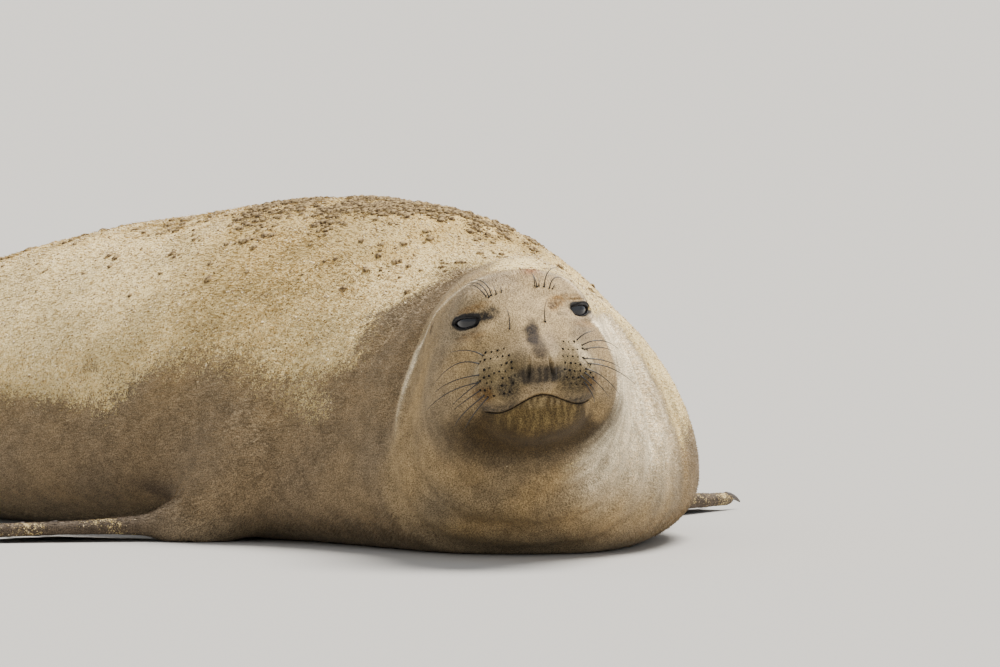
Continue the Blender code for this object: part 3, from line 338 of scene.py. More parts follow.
@dataclass
class Head:
    """The head in its own frame: x to the seal's left, y forward and z up from between the eyes."""

    spine: Spine
    eye: Eye = field(default_factory=Eye)
    eyes_at: float = 0.140
    eyes_height: float = 0.355
    turn: float = math.radians(37.5)
    tilt: float = math.radians(6.2)
    nod: float = math.radians(1.5)
    reach: float = 0.55
    # Centre, radii and blend of each mass; one with x above 0 is there on both sides
    masses: tuple[tuple, ...] = (
        ((0.000, -0.100, -0.038), (0.120, 0.165, 0.106), 0.010),
        ((0.000, -0.004, -0.066), (0.098, 0.104, 0.090), 0.045),
        ((0.000, 0.058, -0.086), (0.070, 0.062, 0.046), 0.030),
        ((0.086, -0.040, -0.105), (0.050, 0.080, 0.066), 0.045),
        ((0.000, -0.085, -0.140), (0.118, 0.140, 0.072), 0.050),
        ((0.000, 0.042, -0.141), (0.068, 0.062, 0.036), 0.018),
        ((0.044, -0.018, 0.019), (0.036, 0.046, 0.028), 0.032),
        ((0.051, 0.074, -0.086), (0.038, 0.042, 0.038), 0.020),
        ((0.000, 0.102, -0.070), (0.029, 0.031, 0.025), 0.016),
    )
    bridge: tuple[tuple, ...] = ((0.0, -0.005, -0.006), (0.0, 0.106, -0.056), (0.030, 0.022))
    bridge_blend: float = 0.035
    mouth_middle: float = -0.1065
    mouth_dip: float = 0.0220
    mouth_dip_at: float = 0.062
    mouth_corner: float = 0.081
    mouth_upturn: float = 0.004
    nostril: tuple[float, float, float] = (0.0165, 0.1270, -0.0670)
    nostril_half: tuple[float, float] = (0.0024, 0.0120)
    nostril_splay: float = math.radians(8)
    ear: tuple[float, float, float] = (0.118, -0.105, -0.012)
    ear_radius: float = 0.0045

    def __post_init__(self) -> None:
        """Work out the frame's origin and axes, the axes as columns."""
        forward = np.array([-math.sin(self.turn), -math.cos(self.turn), 0.0])
        left = np.array([-forward[1], forward[0], 0.0])
        up = np.array([0.0, 0.0, 1.0])
        rolled_left = math.cos(self.tilt) * left + math.sin(self.tilt) * up
        rolled_up = math.cos(self.tilt) * up - math.sin(self.tilt) * left
        nodded = math.cos(self.nod) * forward - math.sin(self.nod) * rolled_up
        crown = math.cos(self.nod) * rolled_up + math.sin(self.nod) * forward
        self.origin = self.spine.point(self.eyes_at, height=self.eyes_height)
        self.axes = np.stack([rolled_left, nodded, crown], axis=1)

    def local(self, points: Array) -> Array:
        """Points of the model's frame in the head's frame."""
        return (points - self.origin) @ self.axes

    def world(self, local: Array) -> Array:
        """Points of the head's frame in the model's frame."""
        return np.asarray(local) @ self.axes.T + self.origin

    def form(self, points: Array) -> Array:
        """Distance to the head without its openings."""
        far = np.linalg.norm(points - self.origin, axis=1) - self.reach
        whole = np.maximum(far, 0.0) + 0.2
        close = far < 0.0
        if close.any():
            whole[close] = self.close_form(points[close])
        return whole

    def close_form(self, points: Array) -> Array:
        """Distance to the head for points round about it."""
        local = self.local(points)
        local[:, 0] = np.abs(local[:, 0])
        form = np.full(len(points), 1.0)
        for centre, radii, blend in self.masses:
            form = smooth_union(form, ellipsoid_form(local, centre, radii), blend)
        form = smooth_union(form, limb_form(local, *self.bridge), self.bridge_blend)
        about = (local - self.eye.centre(1)) @ self.eye.axes(1).T
        hollow = ellipsoid_form(about, (0.0, 0.0, self.eye.orbit_out), self.eye.orbit_radii)
        form = smooth_overlap(form, -hollow, self.eye.orbit_blend)
        lids = np.linalg.norm(about, axis=1) - self.eye.radius - self.eye.lid
        return smooth_union(form, lids, self.eye.lid_blend)

    def face_point(self, across: float, height: float, sunk: float = 0.0) -> Array:
        """Point on the face, or under its surface, found straight from the front."""
        depths = np.linspace(0.20, -0.20, 801)
        line = np.stack([np.full(801, across), depths, np.full(801, height)], axis=1)
        inside = self.form(self.world(line)) < 0
        return np.array([across, depths[np.argmax(inside)] - sunk, height])

    def normal(self, local: Array) -> Array:
        """Direction straight out of the face at a point."""
        step = 0.001
        near = np.asarray(local) + np.vstack([np.eye(3), -np.eye(3)]) * step
        value = self.form(self.world(near))
        return unit(value[:3] - value[3:])

    def mouth_height(self, across: Array) -> Array:
        """Height of the mouth line: a peak in the middle, a dip on each side, corners turned up."""
        share = np.minimum(np.abs(across) / self.mouth_dip_at, 1.0)
        fall = self.mouth_dip * share * share * (3 - 2 * share)
        past = np.clip((np.abs(across) - self.mouth_dip_at) / (self.mouth_corner - self.mouth_dip_at),
                       0.0, 1.0)
        return self.mouth_middle - fall + self.mouth_upturn * past ** 2

    def nostril_gap(self, local: Array) -> Array:
        """Share of the way from a nostril's middle to its edge, 1 at the edge."""
        across = np.abs(local[:, 0]) - self.nostril[0]
        rise = local[:, 2] - self.nostril[2]
        cosine, sine = math.cos(self.nostril_splay), math.sin(self.nostril_splay)
        wide = (across * cosine + rise * sine) / self.nostril_half[0]
        tall = (rise * cosine - across * sine) / self.nostril_half[1]
        return np.hypot(wide, tall)


@dataclass
class FlipperSizes:
    """Sizes of a pair of flippers."""

    root: tuple[float, float, float]
    wrist: tuple[float, float, float]
    arm: tuple[float, float]
    splay: float
    droop: float
    lean: float
    digits: tuple[tuple[float, float], ...]
    digit_radii: tuple[float, float]
    web: tuple[float, float]
    curl: float
    digit_blend: float = 0.009
    scallop: float = 0.016


FORE = FlipperSizes(
    root=(0.80, 0.320, 0.100), wrist=(0.880, 0.392, 0.026), arm=(0.085, 0.048),
    splay=math.radians(48), droop=math.radians(2.5), lean=math.radians(87),
    digits=((17, 0.350), (9, 0.345), (1, 0.322), (-8, 0.290), (-17, 0.250)),
    digit_radii=(0.0170, 0.0085), web=(0.0150, 0.0050), curl=0.0)
HIND = FlipperSizes(
    root=(2.300, 0.070, 0.105), wrist=(2.500, 0.078, 0.096), arm=(0.078, 0.044),
    splay=math.radians(5), droop=math.radians(1.5), lean=math.radians(16),
    digits=((15, 0.450), (8, 0.405), (2, 0.380), (-5, 0.400), (-12, 0.440)),
    digit_radii=(0.0220, 0.0092), web=(0.0150, 0.0048), curl=0.012)


class Flipper:
    """A webbed flipper: a limb out of the body, a palm, five digits and the web between them."""

    def __init__(self, spine: Spine, sizes: FlipperSizes, side: Side) -> None:
        """Place the flipper on its side of the body."""
        sign = side.value
        tail = spine.direction(sizes.wrist[0])
        left = np.array([tail[1], -tail[0], 0.0])
        plumb = np.array([0.0, 0.0, 1.0])
        self.side = side
        self.sizes = sizes
        self.root = spine.point(sizes.root[0], sign * sizes.root[1], sizes.root[2])
        self.wrist = spine.point(sizes.wrist[0], sign * sizes.wrist[1], sizes.wrist[2])
        level = math.cos(sizes.splay) * tail + sign * math.sin(sizes.splay) * left
        outward = np.cross(level, plumb) * sign
        up = math.cos(sizes.droop) * plumb + math.sin(sizes.droop) * level
        self.along = math.cos(sizes.droop) * level - math.sin(sizes.droop) * plumb
        self.across = math.cos(sizes.lean) * up + math.sin(sizes.lean) * outward
        self.normal = math.cos(sizes.lean) * outward - math.sin(sizes.lean) * up
        self.angles = np.radians([angle for angle, _ in sizes.digits])
        self.lengths = np.array([length for _, length in sizes.digits])
        self.order = np.argsort(self.angles)

    @property
    def reach(self) -> float:
        """Length of the longest digit."""
        return float(self.lengths.max())

    def local(self, points: Array) -> Array:
        """Points in the flipper's frame: along, across and out of its plane."""
        offset = points - self.wrist
        along = offset @ self.along
        bend = self.sizes.curl * np.clip(along / self.reach, 0.0, None) ** 2
        return np.stack([along, offset @ self.across, offset @ self.normal - bend], axis=1)

    def world(self, along: float, across: float, out: float = 0.0) -> Array:
        """A point of the flipper's frame in the model's frame."""
        bend = self.sizes.curl * max(along / self.reach, 0.0) ** 2
        return self.wrist + along * self.along + across * self.across + (out + bend) * self.normal

    def ray_at(self, place: float, reach: float, out: float = 0.0) -> Array:
        """Point on a ray between the digits, place counting the digits and reach a share of length."""
        count = np.arange(len(self.order))
        angle = np.interp(place, count, self.angles[self.order])
        length = np.interp(place, count, self.lengths[self.order]) * reach
        return self.world(length * math.cos(angle), length * math.sin(angle), out)

    def share(self, points: Array, start: float = 0.0, full: float = 0.06) -> Array:
        """1 on the flipper and 0 off it, rising along it from the start to the full place."""
        local = self.local(points)
        radius = np.hypot(local[:, 0], local[:, 1])
        on = ramp(radius, self.reach + 0.05, self.reach + 0.02) * ramp(np.abs(local[:, 2]), 0.075, 0.050)
        low, high = math.tan(self.angles.min()), math.tan(self.angles.max())
        beyond = np.maximum(local[:, 1] - high * local[:, 0], low * local[:, 0] - local[:, 1])
        return on * ramp(beyond, 0.065, 0.045) * ramp(local[:, 0], start, full)

    def digit_place(self, local: Array) -> Array:
        """Where each point lies among the digits, a whole number on a digit's middle."""
        angle = np.arctan2(local[:, 1], local[:, 0])
        return np.interp(angle, self.angles[self.order], np.arange(len(self.order)))

    def web_form(self, local: Array) -> Array:
        """Distance to the web, which is cut in between the digits."""
        radius = np.hypot(local[:, 0], local[:, 1])
        angle = np.arctan2(local[:, 1], local[:, 0])
        edge = np.interp(angle, self.angles[self.order], self.lengths[self.order])
        edge = edge - self.sizes.scallop * np.sin(math.pi * self.digit_place(local)) ** 2
        thickness = np.interp(radius / self.reach, (0.0, 1.0), self.sizes.web)
        middle = (self.angles.max() + self.angles.min()) / 2
        spread = (self.angles.max() - self.angles.min()) / 2
        plate = smooth_overlap(radius - edge, np.abs(local[:, 2]) - thickness, 0.006)
        return smooth_overlap(plate, radius * (np.abs(angle - middle) - spread), 0.006)

    def form(self, points: Array, limb_blend: float) -> Array:
        """Distance to the whole flipper."""
        far = np.linalg.norm(points - self.wrist, axis=1) - self.reach - 0.2
        form = np.maximum(far, 0.0) + 0.2
        close = far < 0.0
        if not close.any():
            return form
        near = points[close]
        local = self.local(near)
        shape = self.web_form(local)
        for angle, length in zip(self.angles, self.lengths):
            tip = (length * math.cos(angle), length * math.sin(angle), 0.0)
            digit = limb_form(local, (0.0, 0.0, 0.0), tip, self.sizes.digit_radii)
            shape = smooth_union(shape, digit, self.sizes.digit_blend)
        arm = limb_form(near, self.root, self.wrist, self.sizes.arm)
        form[close] = smooth_union(shape, arm, limb_blend)
        return form


@dataclass
class Body:
    """The whole animal's form, and the shift from its own frame to the row's."""

    spine: Spine
    trunk: Trunk
    head: Head
    neck_blend: float = 0.055
    limb_blend: float = 0.045
    tail_centre: tuple[float, float] = (2.625, 0.088)
    tail_radii: tuple[float, float, float] = (0.036, 0.075, 0.021)
    tail_blend: float = 0.02
    under: float = 0.004

    def __post_init__(self) -> None:
        """Place the flippers and find the shift from where the eye's node is."""
        self.flippers = {f"{word}_flipper_{side.word}": Flipper(self.spine, sizes, side)
                         for word, sizes in (("fore", FORE), ("hind", HIND)) for side in Side}
        low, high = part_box("eye_left")
        eye = self.head.world(self.head.eye.centre(1))
        self.shift = (np.array(low) + np.array(high)) / 2 - eye

    def form(self, points: Array) -> Array:
        """Distance to the whole animal, which ends a little below the floor."""
        form = smooth_union(self.trunk.form(points), self.head.form(points), self.neck_blend)
        for flipper in self.flippers.values():
            form = smooth_union(form, flipper.form(points, self.limb_blend), self.limb_blend)
        distance, side = self.spine.locate(points)
        flat = np.stack([side, distance, points[:, 2]], axis=1)
        tail = ellipsoid_form(flat, (0.0, *self.tail_centre), self.tail_radii)
        return np.maximum(smooth_union(form, tail, self.tail_blend), -self.under - points[:, 2])

    def slope(self, points: Array, value: Array, step: float = 0.0008) -> Array:
        """How fast the form rises along each axis at each point."""
        slope = np.empty_like(points)
        for axis in range(3):
            ahead = points.copy()
            ahead[:, axis] += step
            slope[:, axis] = (self.form(ahead) - value) / step
        return slope

    def settle(self, points: Array, rounds: int, reach: float = 0.012) -> Array:
        """Points moved along the form's slope until they lie on its surface.

        Args:
            points: places in the model's frame.
            rounds: how many steps are taken.
            reach: longest move in one step.

        Returns:
            The moved points.
        """
        points = points.copy()
        for _ in range(rounds):
            value = self.form(points)
            slope = self.slope(points, value)
            move = -(value / np.maximum((slope ** 2).sum(axis=1), 0.05))[:, None] * slope
            size = np.linalg.norm(move, axis=1)
            points += move * np.minimum(1.0, reach / np.maximum(size, 1e-9))[:, None]
        return points


# Meshes

def read_points(mesh: bpy.types.Mesh) -> Array:
    """The mesh's vertices, one row each."""
    flat = np.empty(len(mesh.vertices) * 3)
    mesh.vertices.foreach_get("co", flat)
    return flat.reshape(-1, 3)


def write_points(mesh: bpy.types.Mesh, points: Array) -> None:
    """Move the mesh's vertices."""
    mesh.vertices.foreach_set("co", np.ascontiguousarray(points).ravel())
    mesh.update()


def edge_pairs(mesh: bpy.types.Mesh) -> Array:
    """The two vertices of each edge."""
    pairs = np.empty(len(mesh.edges) * 2, dtype=np.int64)
    mesh.edges.foreach_get("vertices", pairs)
    return pairs.reshape(-1, 2)


def relaxed(mesh: bpy.types.Mesh, points: Array, rounds: int) -> Array:
    """Points drawn towards the middle of their neighbours, which evens the mesh."""
    pairs = edge_pairs(mesh)
    first, second = pairs[:, 0], pairs[:, 1]
    count = np.bincount(pairs.ravel(), minlength=len(points)).astype(float)
    for _ in range(rounds):
        total = np.stack([np.bincount(first, points[second, k], len(points))
                          + np.bincount(second, points[first, k], len(points)) for k in range(3)], axis=1)
        points = points * 0.4 + total / count[:, None] * 0.6
    return points


def add_attribute(mesh: bpy.types.Mesh, name: str, kind: str, values: Array) -> None:
    """Write one value for each vertex as a named attribute."""
    layer = mesh.attributes.new(name, kind, "POINT")
    keys = {"FLOAT": "value", "FLOAT_VECTOR": "vector", "FLOAT_COLOR": "color"}
    layer.data.foreach_set(keys[kind], np.ascontiguousarray(values, dtype=np.float32).ravel())


def new_object(name: str, mesh: bpy.types.Mesh) -> bpy.types.Object:
    """Put a mesh into the scene as an object at the origin."""
    obj = bpy.data.objects.new(name, mesh)
    bpy.context.scene.collection.objects.link(obj)
    return obj


def bake_modifiers(obj: bpy.types.Object) -> None:
    """Give an object its evaluated mesh and take its modifiers off."""
    bpy.context.view_layer.update()
    evaluated = obj.evaluated_get(bpy.context.evaluated_depsgraph_get())
    mesh = bpy.data.meshes.new_from_object(evaluated)
    old = obj.data
    obj.modifiers.clear()
    obj.data = mesh
    bpy.data.meshes.remove(old)


def mesh_of(bm: bmesh.types.BMesh, name: str) -> bpy.types.Mesh:
    """The bmesh's content as a mesh with its normals outward."""
    bmesh.ops.recalc_face_normals(bm, faces=bm.faces[:])
    mesh = bpy.data.meshes.new(name)
    bm.to_mesh(mesh)
    bm.free()
    return mesh


def tubes(name: str, lines: Sequence[tuple[Array, Array]], sides_level: int = 1,
          closed: bool = False) -> bpy.types.Mesh:
    """Round tubes along lines of points, each with a radius at every point.

    Args:
        name: name of the mesh.
        lines: points and radii of each tube.
        sides_level: fineness of the round section.
        closed: True where each line runs back into its start.

    Returns:
        One mesh with all tubes, closed and smooth.
    """
    curve = bpy.data.curves.new(name, "CURVE")
    curve.dimensions = "3D"
    curve.bevel_depth = 1.0
    curve.bevel_resolution = sides_level
    curve.use_fill_caps = not closed
    for points, radii in lines:
        spline = curve.splines.new("POLY")
        spline.points.add(len(points) - 1)
        spline.points.foreach_set("co", np.column_stack([points, np.ones(len(points))]).ravel())
        spline.points.foreach_set("radius", np.asarray(radii, dtype=float))
        spline.use_cyclic_u = closed
        spline.use_smooth = True
    holder = bpy.data.objects.new(name, curve)
    bpy.context.scene.collection.objects.link(holder)
    bpy.context.view_layer.update()
    evaluated = holder.evaluated_get(bpy.context.evaluated_depsgraph_get())
    mesh = bpy.data.meshes.new_from_object(evaluated)
    bpy.data.objects.remove(holder)
    bpy.data.curves.remove(curve)
    bm = bmesh.new()
    bm.from_mesh(mesh)
    bmesh.ops.remove_doubles(bm, verts=bm.verts[:], dist=0.00004)
    bmesh.ops.recalc_face_normals(bm, faces=bm.faces[:])
    bm.to_mesh(mesh)
    bm.free()
    mesh.shade_smooth()
    return mesh


def turned(axes: Array) -> Matrix:
    """A 4 by 4 matrix from three axes as columns."""
    return Matrix([list(row) for row in np.asarray(axes)]).to_4x4()


class RoughBody:
    """Simple shapes that fill out the form before the skin is laid on it."""

    ring_points: int = 40
    ring_step: float = 0.05
    bar_radii: tuple[float, float, float] = (0.024, 0.018, 0.015)

    def __init__(self, body: Body) -> None:
        """Start with an empty mesh."""
        self.body = body
        self.bm = bmesh.new()

    def loft(self) -> None:
        """Neck and trunk as rings of points, closed at both ends."""
        trunk, spine = self.body.trunk, self.body.spine
        rings = []
        for distance in np.arange(trunk.start, trunk.finish, self.ring_step):
            width, top, middle, under = trunk.section(distance)
            ring = []
            for turn in np.arange(self.ring_points) * 2 * math.pi / self.ring_points:
                rise = math.sin(turn) * (top - middle if math.sin(turn) > 0 else middle - under)
                ring.append(self.bm.verts.new(spine.point(distance, width * math.cos(turn), middle + rise)))
            rings.append(ring)
        for before, after in zip(rings, rings[1:]):
            for index in range(self.ring_points):
                following = (index + 1) % self.ring_points
                self.bm.faces.new((before[index], after[index], after[following], before[following]))
        self.bm.faces.new(rings[0])
        self.bm.faces.new(list(reversed(rings[-1])))

    def ball(self, centre: Array, radii: Sequence[float], axes: Array) -> None:
        """An ellipsoid in the model's frame."""
        place = Matrix.Translation(Vector(np.asarray(centre).tolist()))
        bmesh.ops.create_uvsphere(self.bm, u_segments=20, v_segments=14, radius=1.0,
                                  matrix=place @ turned(axes) @ Matrix.Diagonal((*radii, 1.0)))

    def bar(self, start: Array, end: Array, radii: Sequence[float]) -> None:
        """A tapered round bar between two points."""
        origin = Vector(np.asarray(start).tolist())
        axis = Vector(np.asarray(end).tolist()) - origin
        place = Matrix.Translation(origin + axis / 2) @ axis.to_track_quat("Z", "Y").to_matrix().to_4x4()
        bmesh.ops.create_cone(self.bm, cap_ends=True, segments=12, radius1=radii[0], radius2=radii[1],
                              depth=axis.length, matrix=place)

    def fan(self, flipper: Flipper) -> None:
        """A flipper's arm and a close fan of bars along its digits and between them."""
        self.bar(flipper.root, flipper.wrist, flipper.sizes.arm)
        last = len(flipper.order) - 1
        for place in np.linspace(0, last, 4 * last + 1):
            reach = 1 - 0.07 * math.sin(math.pi * place) ** 2
            stops = [flipper.ray_at(place, reach * share) for share in (0.0, 0.5, 0.96)]
            self.bar(stops[0], stops[1], self.bar_radii[:2])
            self.bar(stops[1], stops[2], self.bar_radii[1:])

    def mesh(self) -> bpy.types.Mesh:
        """All the shapes in one mesh, still passing through each other."""
        body, head = self.body, self.body.head
        self.loft()
        for centre, radii, _ in head.masses:
            for sign in (1, -1) if centre[0] > 0 else (1,):
                self.ball(head.world(np.array(centre) * (sign, 1, 1)), radii, head.axes)
        for side in Side:
            self.ball(head.world(head.eye.centre(side.value)), [head.eye.radius + head.eye.lid] * 3, head.axes)
        for flipper in body.flippers.values():
            self.fan(flipper)
        self.ball(body.spine.point(body.tail_centre[0], 0.0, body.tail_centre[1]), body.tail_radii, np.eye(3))
        return mesh_of(self.bm, "rough")


@dataclass
class Places:
    """Where each point of the skin is, told in several ways at once."""

    points: Array
    distance: Array
    side: Array
    local: Array
    height: Array
    turn: Array
    frayed: Array

    @classmethod
    def of(cls, body: Body, points: Array) -> "Places":
        """Work out all the ways for points of the model's frame."""
        distance, side = body.spine.locate(points)
        _, top, middle, _ = body.trunk.section(distance)
        height = points[:, 2] / np.maximum(top, 0.05)
        turn = np.arctan2(side, points[:, 2] - middle)
        frayed = Ripples(0.018, 91).at(points)
        return cls(points, distance, side, body.head.local(points), height, turn, frayed)

    def eye_gap(self, eye: Eye) -> Array:
        """Distance outside the nearer eye's opening, 1 far from it."""
        gap = np.full(len(self.points), 1.0)
        for side in Side:
            about = (self.local - eye.centre(side.value)) @ eye.axes(side.value).T
            close = np.linalg.norm(about, axis=1) < 2.2 * eye.radius
            gap[close] = np.minimum(gap[close], eye.lid_gap(about[close]))
        return gap

    def ear_gap(self, head: Head) -> Array:
        """Distance from the middle of the nearer ear's opening, as a share of its radius."""
        about = np.abs(self.local * (1, 0, 0)) + self.local * (0, 1, 1) - head.ear
        return np.linalg.norm(about * (0.45, 1, 1), axis=1) / head.ear_radius

    def near(self, across: float, height: float, radii: tuple[float, float], front: float = 0.0,
             lean: float = 0.0, only: Side | None = None) -> Array:
        """Share of a soft spot on the face, seen from the front.

        Args:
            across: distance of its middle from the face's middle line.
            height: height of its middle in the head's frame.
            radii: half width and half height.
            front: how far forward the skin must lie.
            lean: turn of the spot, positive where its outer end is lower.
            only: the one side that has it, both sides where left out.

        Returns:
            0 to 1 for each point.
        """
        out = self.local[:, 0] * only.value if only else np.abs(self.local[:, 0])
        wide, tall = out - across, self.local[:, 2] - height
        cosine, sine = math.cos(lean), math.sin(lean)
        flat = np.hypot((wide * cosine - tall * sine) / radii[0], (tall * cosine + wide * sine) / radii[1])
        flat = flat + self.frayed * min(0.14, 0.0045 / min(radii))
        return ramp(flat, 1.35, 0.55) * ramp(self.local[:, 1], front - 0.05, front)


@dataclass
class Relief:
    """Heights of the skin's fine shapes over the form."""

    body: Body
    coat_depth: float = 0.0014
    face_depth: float = 0.0006
    wave: float = 0.0030
    lip_depth: float = 0.0036
    lip_half: float = 0.0017
    nostril_depth: float = 0.0062
    socket_depth: float = 0.0075
    ear_depth: float = 0.0080
    wrinkle: float = 0.0014

    def at(self, places: Places) -> Array:
        """Height to move each point along its normal."""
        face = self.face_share(places)
        height = -(self.coat_depth + (self.face_depth - self.coat_depth) * face)
        height += self.waves(places, face) + self.neck_wrinkles(places)
        height += self.mouth(places) + self.nose(places) + self.lids(places)
        ear = places.ear_gap(self.body.head)
        height += 0.0010 * ridge(ear - 1.5, 0.4) - self.ear_depth * ramp(ear, 1.15, 0.45)
        return height + self.limbs(places)

    def face_share(self, places: Places) -> Array:
        """1 on the face, 0 from the neck back."""
        return ramp(places.distance, 0.36, 0.24) * ramp(places.local[:, 1], -0.16, -0.04)

    def waves(self, places: Places, face: Array) -> Array:
        """Soft unevenness of the flesh, finer on the head."""
        broad = Ripples(0.42, 3).at(places.points) * self.wave * ramp(places.distance, 0.42, 0.8)
        fine = Ripples(0.05, 5).at(places.points) * 0.0005 * (1 - 0.6 * face)
        return broad + fine

    def neck_wrinkles(self, places: Places) -> Array:
        """Fine folds that run round the neck, and across the chest between the flippers."""
        lean = places.distance + 0.10 * places.points[:, 2] + 0.012 * Ripples(0.16, 8).at(places.points)
        fold = -(0.5 + 0.5 * np.cos(lean * 2 * math.pi / 0.047)) ** 3
        where = ramp(places.distance, 0.33, 0.40) * ramp(places.distance, 0.85, 0.60)
        patchy = 0.55 + 0.45 * Ripples(0.22, 12).at(places.points)
        return fold * self.wrinkle * where * np.clip(patchy, 0.0, 1.0)

    def mouth(self, places: Places) -> Array:
        """The closed mouth: a groove between two rolled lips."""
        head, local = self.body.head, places.local
        gap = local[:, 2] - head.mouth_height(local[:, 0])
        ends = ramp(np.abs(local[:, 0]), head.mouth_corner + 0.004, head.mouth_corner - 0.012)
        front = ramp(local[:, 1], 0.0, 0.02) * ends
        groove = -self.lip_depth * ridge(gap, self.lip_half) * (0.45 + 0.55 * ends)
        rolls = 0.0016 * ridge(gap - 0.0065, 0.0045) + 0.0012 * ridge(gap + 0.0060, 0.0042)
        return (groove + rolls) * front

    def nose(self, places: Places) -> Array:
        """Nostril slits and the crease under the nose."""
        head, local = self.body.head, places.local
        front = ramp(local[:, 1], 0.07, 0.09)
        slit = -self.nostril_depth * ramp(head.nostril_gap(local), 1.35, 0.45)
        across = np.abs(local[:, 0])
        under = -0.0016 * ridge(local[:, 2] + 0.0945 + 0.12 * across, 0.0022) * ramp(across, 0.032, 0.022)
        wing = 0.0012 * ridge(head.nostril_gap(local) - 1.9, 0.6)
        folds = -0.0006 * (0.5 + 0.5 * np.cos(local[:, 0] * 2 * math.pi / 0.0085 + 0.6)) ** 2
        wing = wing + folds * ramp(across, 0.034, 0.026) * ramp(local[:, 2], -0.058, -0.068)
        parting = -0.0010 * ridge(local[:, 0], 0.0016) * ramp(local[:, 2], -0.078, -0.084)
        return (slit + under + wing + parting * ramp(local[:, 2], -0.104, -0.098)) * front

    def lids(self, places: Places) -> Array:
        """Openings between the lids, with creases over and under them."""
        gap = places.eye_gap(self.body.head.eye)
        opening = -self.socket_depth * ramp(gap, 0.0010, -0.0012)
        edge = 0.0008 * ridge(gap - 0.0028, 0.0016)
        creases = -0.0013 * ridge(gap - 0.0062, 0.0011) - 0.0011 * ridge(gap - 0.0108, 0.0015)
        return opening + edge + creases

    def limbs(self, places: Places) -> Array:
        """Cross wrinkles on the flippers, and hollows between their digits."""
        height = np.zeros(len(places.points))
        for flipper in self.body.flippers.values():
            local = flipper.local(places.points)
            reach = np.hypot(local[:, 0], local[:, 1]) / flipper.reach
            on = ramp(reach, 0.10, 0.25) * ramp(reach, 1.08, 1.0) * ramp(np.abs(local[:, 2]), 0.06, 0.04)
            on *= ramp(np.abs(flipper.digit_place(local) - 2.0), 2.6, 2.2)
            waved = local[:, 0] + 0.006 * Ripples(0.05, 21).at(places.points)
            height -= 0.0005 * on * (0.5 + 0.5 * np.cos(waved * 2 * math.pi / 0.017)) ** 2
        return height


# Colours, all linear

Colour = tuple[float, float, float]


@dataclass(frozen=True)
class Palette:
    """The seal's colours; the throat colour is a painted shadow, chin and muzzle also serve in part as painted shade,
    and ridge in part as a painted highlight.
    """

    fur: Colour = (0.380, 0.262, 0.122)
    fur_grey: Colour = (0.280, 0.210, 0.122)
    fur_dark: Colour = (0.205, 0.148, 0.088)
    # ridge: pale cream hair of the neck's fold, in part a painted highlight along the fold's edge
    ridge: Colour = (0.93, 0.80, 0.56)
    brow: Colour = (0.430, 0.310, 0.158)
    lid: Colour = (0.020, 0.018, 0.017)
    stain: Colour = (0.200, 0.095, 0.016)
    rust: Colour = (0.220, 0.075, 0.020)
    nose: Colour = (0.028, 0.020, 0.015)
    muzzle: Colour = (0.030, 0.024, 0.018)
    pad: Colour = (0.170, 0.122, 0.056)
    pad_pale: Colour = (0.420, 0.330, 0.190)
    # chin: dark chin fur, darkened further as painted shade
    chin: Colour = (0.062, 0.039, 0.014)
    chin_light: Colour = (0.210, 0.145, 0.055)
    # painted shadow under the chin and down the throat
    throat: Colour = (0.022, 0.014, 0.007)
    flipper: Colour = (0.075, 0.054, 0.038)
    belly: Colour = (0.26, 0.20, 0.125)


@dataclass(frozen=True)
class SandColours:
    """Dry sand from its palest to its darkest grains, and damp sand."""

    pale: Colour = (0.86, 0.685, 0.355)
    golden: Colour = (0.60, 0.43, 0.170)
    brown: Colour = (0.22, 0.135, 0.052)
    damp: Colour = (0.085, 0.055, 0.025)
    back: Colour = (0.70, 0.64, 0.50)


